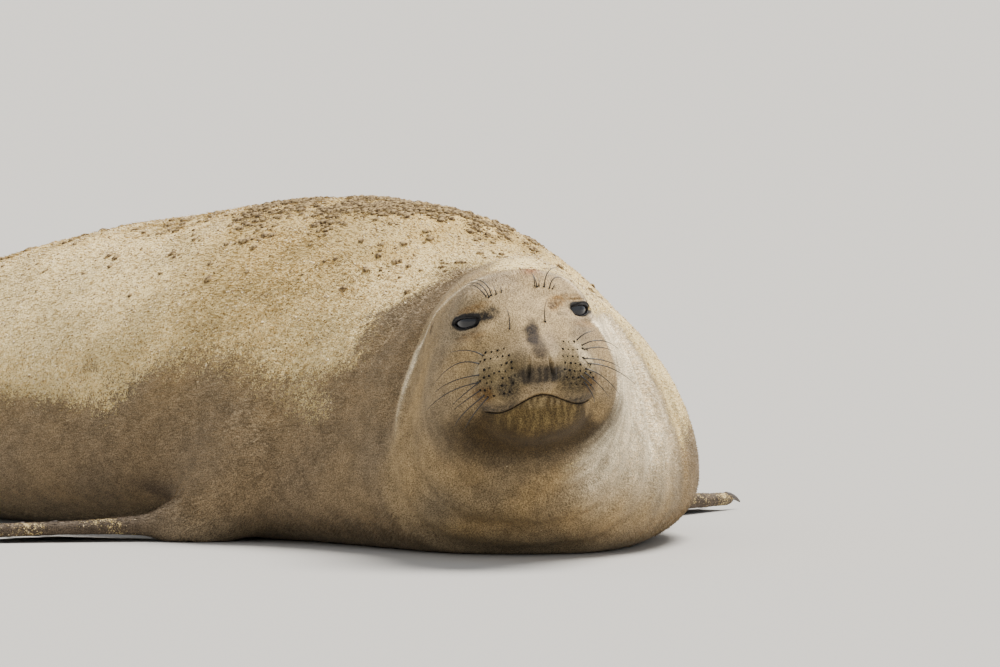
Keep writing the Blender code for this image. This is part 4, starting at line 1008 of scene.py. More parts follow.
@dataclass
class Markings:
    """The coat's colours and what lies on it, for each point of the skin."""

    body: Body
    palette: Palette = field(default_factory=Palette)

    def tint(self, places: Places) -> Array:
        """Colour of the fur and the bare skin.

        Args:
            places: the skin's points.

        Returns:
            One linear colour for each point.
        """
        paint = self.palette
        mottle = 0.5 + 0.5 * Ripples(0.11, 31).at(places.points)
        colour = self.mixed(np.tile(paint.fur_grey, (len(places.points), 1)), paint.fur, mottle)
        low = ramp(places.height, 0.75, 0.25) * ramp(places.distance, 0.36, 0.60)
        colour = self.mixed(colour, paint.fur_dark, 0.75 * low)
        colour = self.mixed(colour, paint.belly, ramp(places.height, 0.12, 0.02) * 0.6)
        colour = self.neck(places, colour)
        colour = self.face(places, colour)
        colour = self.round_eyes(places, colour)
        ear = places.ear_gap(self.body.head)
        colour = self.mixed(colour, paint.fur_dark, 0.8 * ramp(ear, 3.0, 1.2))
        colour = self.mixed(colour, paint.lid, ramp(ear, 1.3, 0.8))
        return self.limbs(places, colour)

    @staticmethod
    def mixed(colour: Array, other: Colour, share: Array) -> Array:
        """The colour with a share of another laid over it."""
        share = np.clip(share, 0.0, 1.0)[:, None]
        return colour * (1 - share) + np.asarray(other) * share

    def neck(self, places: Places, colour: Array) -> Array:
        """Darker bare fur on the neck's right, pale stretched skin round the head, painted shade beside it, and a
        pale line with a painted highlight on the fold's edge.
        """
        right = ramp(places.side, 0.02, -0.10)
        bare = ramp(places.distance, 0.325, 0.36) * ramp(places.distance, 0.76, 0.44)
        colour = self.mixed(colour, self.palette.fur_dark, 0.60 * right * bare)
        left = ramp(places.side, 0.04, 0.11)
        hairs = 0.5 + 0.5 * Ripples(0.010, 47).at(self.stretched(places))
        colour = self.mixed(colour, self.palette.ridge, self.bare_left(places) * (0.55 + 0.45 * hairs))
        shaded = ridge(places.distance - 0.285 - 0.02 * places.frayed, 0.022) * left
        colour = self.mixed(colour, self.palette.fur_grey, 0.35 * shaded * hairs)
        # Pale line along the edge of the neck's fold: pale hair, and in part a painted highlight on the edge
        line = ridge(self.rim_gap(places), 0.0065) * ramp(places.points[:, 2], 0.14, 0.27)
        line *= 0.25 + 0.75 * ramp(np.abs(places.side), 0.03, 0.09)
        return self.mixed(colour, self.palette.ridge, line * (0.45 + 0.55 * hairs))

    def bare_left(self, places: Places) -> Array:
        """Share of the pale stretched skin on the neck's left, which carries no sand."""
        lift = places.points[:, 2]
        pale = ramp(self.rim_gap(places), -0.010, 0.020) * ramp(places.distance, 0.48, 0.36)
        return pale * ramp(places.side, 0.04, 0.11) * ramp(lift, 0.04, 0.18) * ramp(lift, 0.385, 0.335)

    @staticmethod
    def rim_gap(places: Places) -> Array:
        """Distance past the line where the head's skin ends in the neck's fold."""
        lift = places.points[:, 2]
        right = np.interp(lift, (0.20, 0.30, 0.34, 0.37, 0.41), (0.316, 0.318, 0.268, 0.213, 0.164))
        return places.distance - right - (0.154 - right) * ramp(places.side, 0.005, 0.060)

    @staticmethod
    def stretched(places: Places) -> Array:
        """Places drawn out round the neck, for streaks that run down it."""
        return np.stack([places.distance, places.turn * 0.03, np.zeros(len(places.turn))], axis=1)

    def face(self, places: Places, colour: Array) -> Array:
        """Brow, nose, pads, chin and throat, with painted shade beside the nose, under the pads and on the chin, and
        a painted shadow down the throat.
        """
        paint, local = self.palette, places.local
        on = ramp(local[:, 1], -0.10, -0.02) * ramp(places.distance, 0.33, 0.28)
        patchy = 0.5 + 0.5 * Ripples(0.035, 41).at(places.points)
        colour = self.mixed(colour, paint.fur_dark, 0.35 * on * ramp(patchy, 0.55, 0.85))
        colour = self.mixed(colour, paint.brow, 0.7 * on * places.near(0.026, 0.013, (0.058, 0.036)))
        pad = on * places.near(0.052, -0.078, (0.038, 0.040), 0.05)
        colour = self.mixed(colour, paint.pad, pad)
        colour = self.mixed(colour, paint.pad_pale, pad * ramp(patchy, 0.45, 0.75) * ramp(local[:, 2], -0.095, -0.06))
        grain = ramp(Ripples(0.0065, 52).at(places.points), -0.6, 0.6)
        upright = 0.5 + 0.5 * Ripples(0.0065, 44).at(local * (1.0, 0.3, 0.16))
        muzzle = places.near(0.0, -0.076, (0.036, 0.0175), 0.08)
        tone = self.mixed(np.tile(paint.muzzle, (len(local), 1)), paint.fur_grey, 0.30 * ramp(upright, 0.25, 0.9))
        share = np.clip(0.95 * on * muzzle, 0.0, 1.0)[:, None]
        colour = colour * (1 - share) + tone * share
        # Darker muzzle colour in the creases beside the nose and under the pads: partly the dark skin there, partly
        # painted shade
        dark = (places.near(0.030, -0.078, (0.016, 0.010), 0.08) + places.near(0.047, -0.094, (0.022, 0.015), 0.05)
                + places.near(0.078, -0.096, (0.012, 0.013), 0.03))
        colour = self.mixed(colour, paint.muzzle, 0.85 * on * np.clip(dark, 0.0, 1.0) * (0.35 + 0.65 * grain))
        paler = places.near(0.0, -0.0945, (0.022, 0.0065), 0.08)
        colour = self.mixed(colour, paint.fur_grey, 0.75 * on * paler)
        stripe = places.near(0.001, -0.019, (0.0115, 0.020), 0.02, -0.12, Side.RIGHT)
        stripe = np.maximum(stripe, 0.85 * places.near(-0.003, -0.037, (0.012, 0.017), 0.02, 0.0, Side.RIGHT))
        colour = self.mixed(colour, paint.nose, on * stripe * (0.90 + 0.10 * grain))
        under = local[:, 2] - self.body.head.mouth_height(local[:, 0])
        lip = ramp(local[:, 1], -0.02, 0.03) * on
        edge = ramp(under + 0.003 * places.frayed, 0.026, 0.006) * (under > -0.001)
        colour = self.mixed(colour, paint.muzzle, 0.92 * lip * edge * ramp(np.abs(local[:, 0]), 0.020, 0.045)
                            * ramp(np.abs(local[:, 0]), 0.092, 0.074) * (0.65 + 0.35 * grain))
        chin = np.hypot((local[:, 0] + 0.006) / 0.090, (local[:, 2] + 0.150) / 0.058) + 0.06 * places.frayed
        beyond = ramp(np.abs(local[:, 0]), 0.068, 0.088)
        below = ramp(under, 0.002, -0.004) * (1 - beyond) + ramp(under, 0.020, -0.030) * beyond
        # Painted shadow under the chin and down the throat
        low = ramp(local[:, 2], -0.255, -0.165)
        shade = below * ramp(chin, 1.95, 0.95) * ramp(local[:, 1], -0.12, 0.0) * (0.25 + 0.75 * low)
        colour = self.mixed(colour, paint.throat, 0.92 * shade)
        # Dark chin fur, darkened further as painted shade
        colour = self.mixed(colour, paint.chin, below * lip * ramp(chin, 1.25, 0.85))
        glow = below * lip * places.near(0.0, -0.134, (0.060, 0.026), 0.0)
        colour = self.mixed(colour, paint.chin_light,
                            0.85 * glow * (0.20 + 0.55 * ramp(upright, 0.4, 0.7) + 0.25 * grain))
        hairs = below * places.near(0.006, -0.1165, (0.050, 0.009), 0.03, 0.0, Side.LEFT)
        colour = self.mixed(colour, paint.pad_pale, 0.24 * hairs * ramp(upright, 0.1, 0.9))
        side = below * places.near(0.092, -0.130, (0.022, 0.030), 0.0, 0.0, Side.LEFT)
        colour = self.mixed(colour, paint.fur, 0.8 * side)
        corner = places.near(0.080, -0.100, (0.014, 0.014), 0.0)
        colour = self.mixed(colour, paint.stain, 0.55 * corner * on * (0.3 + 0.7 * grain))
        rust = ridge(np.hypot(local[:, 0] - 0.022, (local[:, 2] - 0.061) * 3.0), 0.013)
        return self.mixed(colour, paint.rust, 0.80 * rust * ramp(local[:, 1], -0.12, -0.06))

    def round_eyes(self, places: Places, colour: Array) -> Array:
        """Dark lids with painted shade under the upper lid and in the lid's crease, dark patches towards the nose and
        yellow stains round about.
        """
        paint = self.palette
        gap = places.eye_gap(self.body.head.eye)
        patchy = 0.5 + 0.5 * Ripples(0.022, 51).at(places.points)
        grain = ramp(Ripples(0.0065, 52).at(places.points), -0.5, 0.5)
        for share, tone, spot in (
                (0.55, paint.fur_grey, places.near(0.091, 0.020, (0.018, 0.007), -0.04, 0.35)),
                (0.80, paint.stain, places.near(0.072, 0.0195, (0.022, 0.0055), 0.0, 0.30)),
                (1.00, paint.stain, places.near(0.043, 0.016, (0.015, 0.0100), 0.0, 0.0, Side.LEFT)),
                (0.50, paint.lid, places.near(0.042, 0.0155, (0.012, 0.0065), 0.0, 0.0, Side.LEFT)),
                (0.60, paint.stain, places.near(0.081, -0.0185, (0.020, 0.0050), -0.02, 0.30)),
                (0.55, paint.stain, places.near(0.104, -0.008, (0.010, 0.016), -0.04, 0.0, Side.LEFT)),
                (0.65, paint.fur_dark, places.near(0.083, -0.031, (0.014, 0.010), 0.0, 0.3, Side.LEFT)),
                (1.10, paint.muzzle, places.near(0.0520, 0.0125, (0.0150, 0.0092), 0.0, 0.35, Side.RIGHT)),
                (1.30, paint.muzzle, places.near(0.0600, 0.0090, (0.0100, 0.0072), 0.0, 0.35, Side.RIGHT)),
                (0.55, paint.lid, places.near(0.036, 0.015, (0.007, 0.005), 0.0, 0.3, Side.LEFT)),
                (0.70, paint.lid, places.near(0.050, 0.001, (0.008, 0.0036), 0.0, 0.2, Side.LEFT))):
            colour = self.mixed(colour, tone, share * spot * (0.45 + 0.55 * grain) * (0.6 + 0.4 * patchy))
        # The dark lid band is wider above the eye as painted shade under the upper lid, and a dark line is painted in
        # the lid's crease as shade
        wide = 0.0008 + 0.0040 * ramp(places.local[:, 2], -0.006, 0.006) * (0.65 + 0.5 * patchy)
        lid_crease_shade = ridge(gap - wide - 0.0035, 0.0012) * (0.3 + 0.7 * patchy)
        colour = self.mixed(colour, paint.lid, 0.40 * lid_crease_shade)
        return self.mixed(colour, paint.lid, ramp(gap + 0.0008 * places.frayed, wide + 0.0014, wide - 0.0012))

    def limbs(self, places: Places, colour: Array) -> Array:
        """Dark bare flippers."""
        for flipper in self.body.flippers.values():
            share = flipper.share(places.points, -0.02, 0.12)
            colour = self.mixed(colour, self.palette.flipper, 0.9 * share)
        return colour

    def sand(self, places: Places) -> Array:
        """How much dry sand covers each point."""
        patchy = Ripples(0.30, 61).at(places.points)
        fine = Ripples(0.07, 62).at(places.points)
        cover = ramp(places.height + 0.10 * patchy + 0.05 * fine, 0.14, 0.70)
        behind = ramp(self.rim_gap(places) + 0.004 * places.frayed, 0.004, 0.020)
        behind = behind * (1 - 0.85 * self.bare_left(places))
        right = ramp(places.side, 0.02, -0.08)
        bare = right * ramp(places.distance + 0.03 * fine + 0.02 * patchy, 0.74, 0.42)
        worn = ramp(places.side, -0.12, -0.19) * ramp(places.height, 0.96, 0.86)
        worn = worn * ramp(places.distance + 0.04 * fine, 0.56, 0.72) * ramp(places.distance + 0.06 * patchy, 1.14, 0.90)
        cover = cover * behind * (1 - 0.80 * bare) * (1 - worn * (0.30 + 0.12 * fine))
        muzzle = np.linalg.norm(places.local - (0.0, 0.11, -0.10), axis=1)
        head = 0.24 * ramp(places.distance, 0.40, 0.30) * (0.6 + 0.4 * fine) * ramp(muzzle, 0.05, 0.14)
        for flipper in self.body.flippers.values():
            share = flipper.share(places.points, 0.0, 0.10)
            cover = cover * (1 - share) + share * (0.38 + 0.14 * fine)
        return np.clip(cover + head, 0.0, 1.0)

    def damp(self, places: Places) -> Array:
        """Damp, clotted sand along the top of the back."""
        patchy = ramp(Ripples(0.15, 71, 20).at(places.points), -0.6, 0.7)
        streaks = ramp(Ripples(0.05, 72, 20).at(places.points), -0.7, 0.7)
        top = ramp(places.height, 0.86, 0.99) * ramp(places.distance, 0.62, 0.85)
        top = top * (0.35 + 0.65 * ramp(places.distance, 1.40, 1.05))
        broad = 0.22 * ramp(places.height, 0.35, 0.85) * ramp(places.distance, 0.55, 0.85)
        broad = broad * ramp(places.distance, 1.35, 1.00)
        return np.clip(broad + top * patchy * streaks, 0.0, 1.0)


@dataclass
class Skin:
    """The one skin of the whole animal."""

    body: Body
    grid: float = 0.0110
    face_from: float = -0.030
    fine_from: float = 0.020
    bottom: float = 0.0010

    def refine(self, mesh: bpy.types.Mesh, chosen: Array) -> None:
        """Cut the faces round the chosen vertices into quarters."""
        bm = bmesh.new()
        bm.from_mesh(mesh)
        bm.verts.ensure_lookup_table()
        flags = chosen.tolist()
        edges = [edge for edge in bm.edges if flags[edge.verts[0].index] and flags[edge.verts[1].index]]
        bmesh.ops.subdivide_edges(bm, edges=edges, cuts=1, use_grid_fill=True)
        bm.to_mesh(mesh)
        bm.free()

    def regions(self, points: Array) -> list[Array]:
        """The parts of the skin that are refined, coarsest first."""
        local = self.body.head.local(points)
        head = np.linalg.norm(local - (0.0, -0.02, -0.06), axis=1) < 0.235
        limbs = np.zeros(len(points), dtype=bool)
        for name, flipper in self.body.flippers.items():
            if name.startswith("fore"):
                middle = flipper.world(flipper.reach / 2, 0.0)
                limbs |= np.linalg.norm(points - middle, axis=1) < flipper.reach * 0.62
        face = (local[:, 1] > self.face_from) & (np.abs(local[:, 0]) < 0.115) & (local[:, 2] < 0.05)
        face &= local[:, 2] > -0.17
        eyes = np.zeros(len(points), dtype=bool)
        for side in Side:
            centre = self.body.head.eye.centre(side.value)
            eyes |= np.linalg.norm(local - centre, axis=1) < self.body.head.eye.radius * 1.6
            ear = np.array(self.body.head.ear) * (side.value, 1, 1)
            eyes |= np.linalg.norm(local - ear, axis=1) < 4 * self.body.head.ear_radius
        mouth = (np.abs(local[:, 2] - self.body.head.mouth_height(local[:, 0])) < 0.011)
        mouth &= (local[:, 1] > 0.0) & (np.abs(local[:, 0]) < 0.092)
        nose = (np.abs(local[:, 0]) < 0.034) & (local[:, 1] > 0.085) & (local[:, 2] < -0.045)
        nose &= local[:, 2] > -0.102
        return [head | limbs, (face | eyes) & head, (eyes | mouth | nose) & head]

    def laid_out(self) -> bpy.types.Object:
        """The skin's mesh on the bare form, finest on the face."""
        skin = new_object("skin", RoughBody(self.body).mesh())
        remesh = skin.modifiers.new("grid", "REMESH")
        remesh.mode = "VOXEL"
        remesh.voxel_size = self.grid
        bake_modifiers(skin)
        points = self.body.settle(read_points(skin.data), 3)
        points = self.body.settle(relaxed(skin.data, points, 2), 2)
        write_points(skin.data, points)
        for level in range(3):
            chosen = self.regions(points)[level]
            self.refine(skin.data, chosen)
            points = read_points(skin.data)
            near = np.linalg.norm(points - self.body.head.origin, axis=1) < 0.5
            if level == 0:
                points = self.body.settle(relaxed(skin.data, points, 1), 2)
            else:
                smooth = relaxed(skin.data, points, 1)
                points[near] = self.body.settle(smooth[near], 2)
            write_points(skin.data, points)
        return skin

    def normals(self, points: Array) -> Array:
        """Directions straight out of the form."""
        slope = self.body.slope(points, self.body.form(points))
        return slope / np.maximum(np.linalg.norm(slope, axis=1, keepdims=True), 1e-9)

    def build(self) -> bpy.types.Object:
        """Make the skin with its relief and its painted attributes.

        Returns:
            The skin in the row's frame.
        """
        skin = self.laid_out()
        points = read_points(skin.data)
        places = Places.of(self.body, points)
        normals = self.normals(points)
        moved = points + normals * Relief(self.body).at(places)[:, None] + self.body.shift
        moved[:, 2] = np.maximum(moved[:, 2], self.bottom)
        write_points(skin.data, moved)
        self.paint(skin.data, places, normals)
        self.unwrap(skin.data, places)
        skin.data.shade_smooth()
        LOG.info("skin: %d faces", len(skin.data.polygons))
        return skin

    def paint(self, mesh: bpy.types.Mesh, places: Places, normals: Array) -> None:
        """Write the markings, the lie of the fur and its density."""
        marks = Markings(self.body)
        tint, sand, damp = marks.tint(places), marks.sand(places), marks.damp(places)
        add_attribute(mesh, "tint", "FLOAT_COLOR", np.column_stack([tint, np.ones(len(tint))]))
        add_attribute(mesh, "sand", "FLOAT", sand)
        add_attribute(mesh, "damp", "FLOAT", damp)
        add_attribute(mesh, "comb", "FLOAT_VECTOR", self.comb(places, normals))
        add_attribute(mesh, "lie", "FLOAT_VECTOR", self.lie(places))
        for name, density in {**self.fur(places, sand), **self.strewn(places, sand, damp)}.items():
            add_attribute(mesh, name, "FLOAT", density)
        add_attribute(mesh, "fur_size", "FLOAT", self.fur_size(places))

    def fur_size(self, places: Places) -> Array:
        """Size of the tufts, smallest round the muzzle and the eyes and on the flippers' ends."""
        near = np.linalg.norm(places.local - (0.0, 0.10, -0.07), axis=1)
        size = 0.45 + 0.55 * ramp(near, 0.06, 0.20)
        size = np.minimum(size, 0.45 + 0.55 * ramp(places.eye_gap(self.body.head.eye), 0.004, 0.02))
        return size

    def strewn(self, places: Places, sand: Array, damp: Array) -> dict[str, Array]:
        """Density of crumbs, of lumps and of loose grains."""
        top = ramp(places.height, 0.70, 0.98) * ramp(places.distance, 0.50, 0.70)
        patchy = ramp(Ripples(0.09, 81, 20).at(places.points), -0.3, 1.1)
        crumbs = 0.03 + 0.30 * patchy ** 2 + 2.2 * np.clip(damp - 0.22, 0.0, 1.0)
        crumbs = crumbs * top * (0.40 + 0.60 * ramp(places.distance, 1.40, 1.05))
        lumpy = np.clip(0.55 + 0.6 * Ripples(0.06, 82).at(places.points), 0.05, 1.0)
        lumps = np.clip(sand - 0.35, 0.0, 1.0) * lumpy * (0.5 + ramp(places.height, 0.6, 0.95))
        above = ramp(places.points[:, 2] + self.body.shift[2], 0.004, 0.012)
        return {"crumbs": crumbs, "lumps": lumps * above, "grains": np.clip(sand - 0.20, 0.0, 1.0) * above}

    def lie(self, places: Places) -> Array:
        """A place on the skin told along and across the fur."""
        local = places.local - (0.0, 0.12, -0.07)
        reach = np.linalg.norm(local, axis=1)
        round_nose = np.arctan2(local[:, 0], local[:, 2]) * 0.12
        share = ramp(places.distance, 0.22, 0.34)
        along = reach * (1 - share) + places.distance * share
        across = round_nose * (1 - share) + places.turn * 0.30 * share
        return np.stack([along, across, np.zeros(len(along))], axis=1)

    def comb(self, places: Places, normals: Array) -> Array:
        """Direction of the fur along the skin: backwards and down, and round the face."""
        angle = self.body.spine.heading(places.distance)
        tail = np.stack([np.sin(angle), np.cos(angle), np.full(len(angle), -0.28)], axis=1)
        away = places.local - (0.0, 0.14, -0.075)
        away /= np.maximum(np.linalg.norm(away, axis=1, keepdims=True), 1e-9)
        face = away @ self.body.head.axes.T
        share = ramp(places.distance, 0.24, 0.36)[:, None]
        lie = face * (1 - share) + tail * share
        for flipper in self.body.flippers.values():
            lie[flipper.share(places.points, 0.0, 0.02) > 0.5] = flipper.along
        lie -= (lie * normals).sum(axis=1, keepdims=True) * normals
        return lie / np.maximum(np.linalg.norm(lie, axis=1, keepdims=True), 1e-9)

    def fur(self, places: Places, sand: Array) -> dict[str, Array]:
        """Density of each piece of the coat, 0 where it doesn't grow and low where sand lies on it."""
        limbs = np.zeros(len(places.points))
        for flipper in self.body.flippers.values():
            limbs = np.maximum(limbs, flipper.share(places.points, 0.0, 0.04))
        eyes = ramp(places.eye_gap(self.body.head.eye), 0.0035, 0.0060)
        gap = np.abs(places.local[:, 2] - self.body.head.mouth_height(places.local[:, 0]))
        mouth = np.where(places.local[:, 1] > 0.0, ramp(gap, 0.0030, 0.0055), 1.0)
        nose = 1 - places.near(0.0, -0.082, (0.030, 0.017), 0.08)
        head = ramp(places.distance, 0.35, 0.33) * eyes * mouth * nose
        head = head * ramp(places.ear_gap(self.body.head), 1.2, 1.6)
        clear = (1 - limbs) * (1 - 0.88 * sand)
        above = ramp(places.points[:, 2] + self.body.shift[2], 0.010, 0.022)
        stretches = {"fur_head": (-1.0, 0.335), "fur_neck": (0.335, 0.76), "fur_shoulders": (0.76, 1.22),
                     "fur_belly": (1.22, 1.74), "fur_hips": (1.74, 3.5)}
        fur = {}
        for name, (low, high) in stretches.items():
            fur[name] = ((places.distance >= low) & (places.distance < high)) * clear * above
        fur["fur_head"] = fur["fur_head"] * head
        fur["fur_flippers"] = limbs * above
        return fur

    def unwrap(self, mesh: bpy.types.Mesh, places: Places) -> None:
        """An unrolled map of the skin: along the spine and round it, with the flippers apart."""
        along = np.clip(places.distance / 3.15, 0.0, 1.0)
        around = (places.turn / (2 * math.pi) + 0.5) * 0.78 + 0.01
        local = places.local - (0.0, -0.06, -0.07)
        polar = np.linalg.norm(local[:, (0, 2)], axis=1)
        turn = np.arctan2(local[:, 0], local[:, 2])
        flat = np.stack([along, around], axis=1)
        face = np.stack([0.055 + 0.30 * polar * np.sin(turn), 0.905 + 0.42 * polar * np.cos(turn)], axis=1)
        front = places.local[:, 1] > -0.06
        flat[front] = face[front]
        for index, flipper in enumerate(self.body.flippers.values()):
            local = flipper.local(places.points)
            on = flipper.share(places.points, 0.0, 0.02) > 0.5
            shelf = 0.16 + 0.10 * (2 * index + (local[:, 2] > 0))
            flat[on, 0] = (shelf + 0.045 + local[:, 1] * 0.25)[on]
            flat[on, 1] = (0.82 + local[:, 0] * 0.34)[on]
        add_attribute(mesh, "unrolled", "FLOAT_VECTOR",
                      np.column_stack([np.clip(flat, 0.002, 0.996), np.zeros(len(flat))]))


# Node trees

Socket = bpy.types.NodeSocket


class Tree:
    """A node tree that is filled one node at a time."""

    def __init__(self, tree: bpy.types.NodeTree) -> None:
        """Take a tree and remember where the next node goes."""
        self.tree = tree
        self.count = 0

    def add(self, kind: str, inputs: dict | None = None, **settings: object) -> bpy.types.Node:
        """Add a node, link or set its inputs and set its own options.

        Args:
            kind: the node's type.
            inputs: for each input's name or number, a socket to link or a value.
            settings: the node's own options by name.

        Returns:
            The node.
        """
        node = self.tree.nodes.new(kind)
        node.location = (220 * (self.count % 8), -260 * (self.count // 8))
        self.count += 1
        for name, value in settings.items():
            setattr(node, name, value)
        for key, value in (inputs or {}).items():
            if isinstance(value, Socket):
                self.tree.links.new(value, node.inputs[key])
            else:
                node.inputs[key].default_value = value
        return node

    def math(self, operation: str, *values: object) -> Socket:
        """Result of a sum on one to three values."""
        return self.add("ShaderNodeMath", dict(enumerate(values)), operation=operation).outputs[0]

    def span(self, value: Socket, low: object, high: object, to_low: object = 0.0,
             to_high: object = 1.0) -> Socket:
        """The value moved smoothly from one range to another."""
        inputs = {"Value": value, "From Min": low, "From Max": high, "To Min": to_low, "To Max": to_high}
        return self.add("ShaderNodeMapRange", inputs, interpolation_type="SMOOTHSTEP").outputs["Result"]

    def noise(self, vector: Socket | None, scale: float, detail: float = 2.0, **more: float) -> bpy.types.Node:
        """A noise texture on a vector."""
        inputs: dict = {"Scale": scale, "Detail": detail, **more}
        if vector is not None:
            inputs["Vector"] = vector
        return self.add("ShaderNodeTexNoise", inputs)

    def mixed(self, share: object, first: object, second: object, blend: str = "MIX") -> Socket:
        """Two colours mixed."""
        node = self.add("ShaderNodeMix", data_type="RGBA", blend_type=blend)
        for key, value in ((0, share), (6, first), (7, second)):
            if isinstance(value, Socket):
                self.tree.links.new(value, node.inputs[key])
            else:
                node.inputs[key].default_value = value
        return node.outputs[2]


def opaque(colour: Colour) -> tuple[float, float, float, float]:
    """A colour with full alpha."""
    return (*colour, 1.0)


def new_group(name: str, inputs: dict[str, tuple[str, object]], outputs: dict[str, str],
              kind: str = "ShaderNodeTree") -> tuple[bpy.types.NodeTree, Tree, bpy.types.Node, bpy.types.Node]:
    """Start a node group with its sockets.

    Args:
        name: the group's name.
        inputs: socket type and default value by name.
        outputs: socket type by name.
        kind: type of the tree.

    Returns:
        The group, a Tree on it, its input node and its output node.
    """
    group = bpy.data.node_groups.new(name, kind)
    for title, (socket, value) in inputs.items():
        item = group.interface.new_socket(title, in_out="INPUT", socket_type=socket)
        if value is not None:
            item.default_value = value
    for title, socket in outputs.items():
        group.interface.new_socket(title, in_out="OUTPUT", socket_type=socket)
    tree = Tree(group)
    return group, tree, tree.add("NodeGroupInput"), tree.add("NodeGroupOutput")


class SandShader:
    """Group that says where grains of sand lie, their colour and their height."""

    @staticmethod
    def build(colours: SandColours) -> bpy.types.NodeTree:
        """Make the group from the sand's colours."""
        group, tree, given, result = new_group(
            "sand grains", {"Cover": ("NodeSocketFloat", 0.5), "Damp": ("NodeSocketFloat", 0.0)},
            {"Mask": "NodeSocketFloat", "Color": "NodeSocketColor", "Height": "NodeSocketFloat"})
        place = tree.add("ShaderNodeTexCoord").outputs["Object"]
        fine = tree.noise(place, 420.0, 2.0, Roughness=0.6).outputs["Fac"]
        coarse = tree.noise(place, 95.0, 3.0, Roughness=0.65).outputs["Fac"]
        blend = tree.math("ADD", tree.math("MULTIPLY", fine, 0.62), tree.math("MULTIPLY", coarse, 0.38))
        edge = tree.math("SUBTRACT", 1.0, given.outputs["Cover"])
        edge = tree.span(edge, 0.0, 1.0, 0.26, 0.74)
        mask = tree.span(blend, edge, tree.math("ADD", edge, 0.045))
        grain = tree.add("ShaderNodeTexVoronoi", {"Vector": place, "Scale": 520.0}).outputs["Color"]
        value = tree.add("ShaderNodeSeparateColor", {"Color": grain}).outputs["Red"]
        ramp_node = tree.add("ShaderNodeValToRGB", {"Fac": value})
        elements = ramp_node.color_ramp.elements
        elements[0].color = opaque(colours.brown)
        elements[1].color = opaque(colours.pale)
        elements[0].position, elements[1].position = 0.0, 0.80
        middle = elements.new(0.22)
        middle.color = opaque(colours.golden)
        patch = tree.noise(place, 9.0, 3.0).outputs["Fac"]
        shade = tree.span(patch, 0.35, 0.65, 0.84, 1.10)
        shaded = tree.mixed(1.0, ramp_node.outputs["Color"], tree.add(
            "ShaderNodeCombineColor", {"Red": shade, "Green": shade, "Blue": shade}).outputs[0], "MULTIPLY")
        shaded = tree.mixed(tree.span(given.outputs["Damp"], 0.0, 0.30), shaded,
                            tree.mixed(1.0, shaded, opaque(colours.back), "MULTIPLY"))
        clots = tree.noise(place, 70.0, 3.0, Roughness=0.7).outputs["Fac"]
        wet_edge = tree.span(given.outputs["Damp"], 0.0, 1.0, 0.78, 0.42)
        wet = tree.span(clots, wet_edge, tree.math("ADD", wet_edge, 0.06))
        colour = tree.mixed(tree.math("MULTIPLY", wet, 0.75), shaded, opaque(colours.damp))
        height = tree.math("ADD", tree.math("MULTIPLY", mask, 0.6), tree.math("MULTIPLY", fine, 0.8))
        height = tree.math("ADD", height, tree.math("MULTIPLY", wet, 0.9))
        for title, socket in (("Mask", mask), ("Color", colour), ("Height", height)):
            tree.tree.links.new(socket, result.inputs[title])
        return group


class FurShader:
    """Group that shades the coat in fine streaks along its lie."""

    @staticmethod
    def build() -> bpy.types.NodeTree:
        """Make the group."""
        group, tree, given, result = new_group(
            "fur streaks", {"Color": ("NodeSocketColor", (0.5, 0.5, 0.5, 1.0)),
                            "Lie": ("NodeSocketVector", None), "Contrast": ("NodeSocketFloat", 0.4)},
            {"Color": "NodeSocketColor", "Height": "NodeSocketFloat"})
        stretched = tree.add("ShaderNodeVectorMath", {0: given.outputs["Lie"], 1: (110.0, 900.0, 1.0)},
                             operation="MULTIPLY").outputs[0]
        streak = tree.noise(stretched, 1.0, 3.0, Roughness=0.6).outputs["Fac"]
        place = tree.add("ShaderNodeTexCoord").outputs["Object"]
        speck = tree.noise(place, 520.0, 2.0, Roughness=0.6).outputs["Fac"]
        broad = tree.noise(place, 42.0, 3.0).outputs["Fac"]
        half = tree.math("MULTIPLY", given.outputs["Contrast"], 0.5)
        low = tree.math("SUBTRACT", 1.0, half)
        high = tree.math("ADD", 1.0, half)
        factor = tree.span(speck, 0.36, 0.64, low, high)
        factor = tree.math("MULTIPLY", factor, tree.span(streak, 0.35, 0.65, 0.86, 1.13))
        factor = tree.math("MULTIPLY", factor, tree.span(broad, 0.35, 0.65, 0.86, 1.12))
        grey = tree.add("ShaderNodeCombineColor", {"Red": factor, "Green": factor, "Blue": factor}).outputs[0]
        colour = tree.mixed(1.0, given.outputs["Color"], grey, "MULTIPLY")
        tree.tree.links.new(colour, result.inputs["Color"])
        tree.tree.links.new(streak, result.inputs["Height"])
        return group


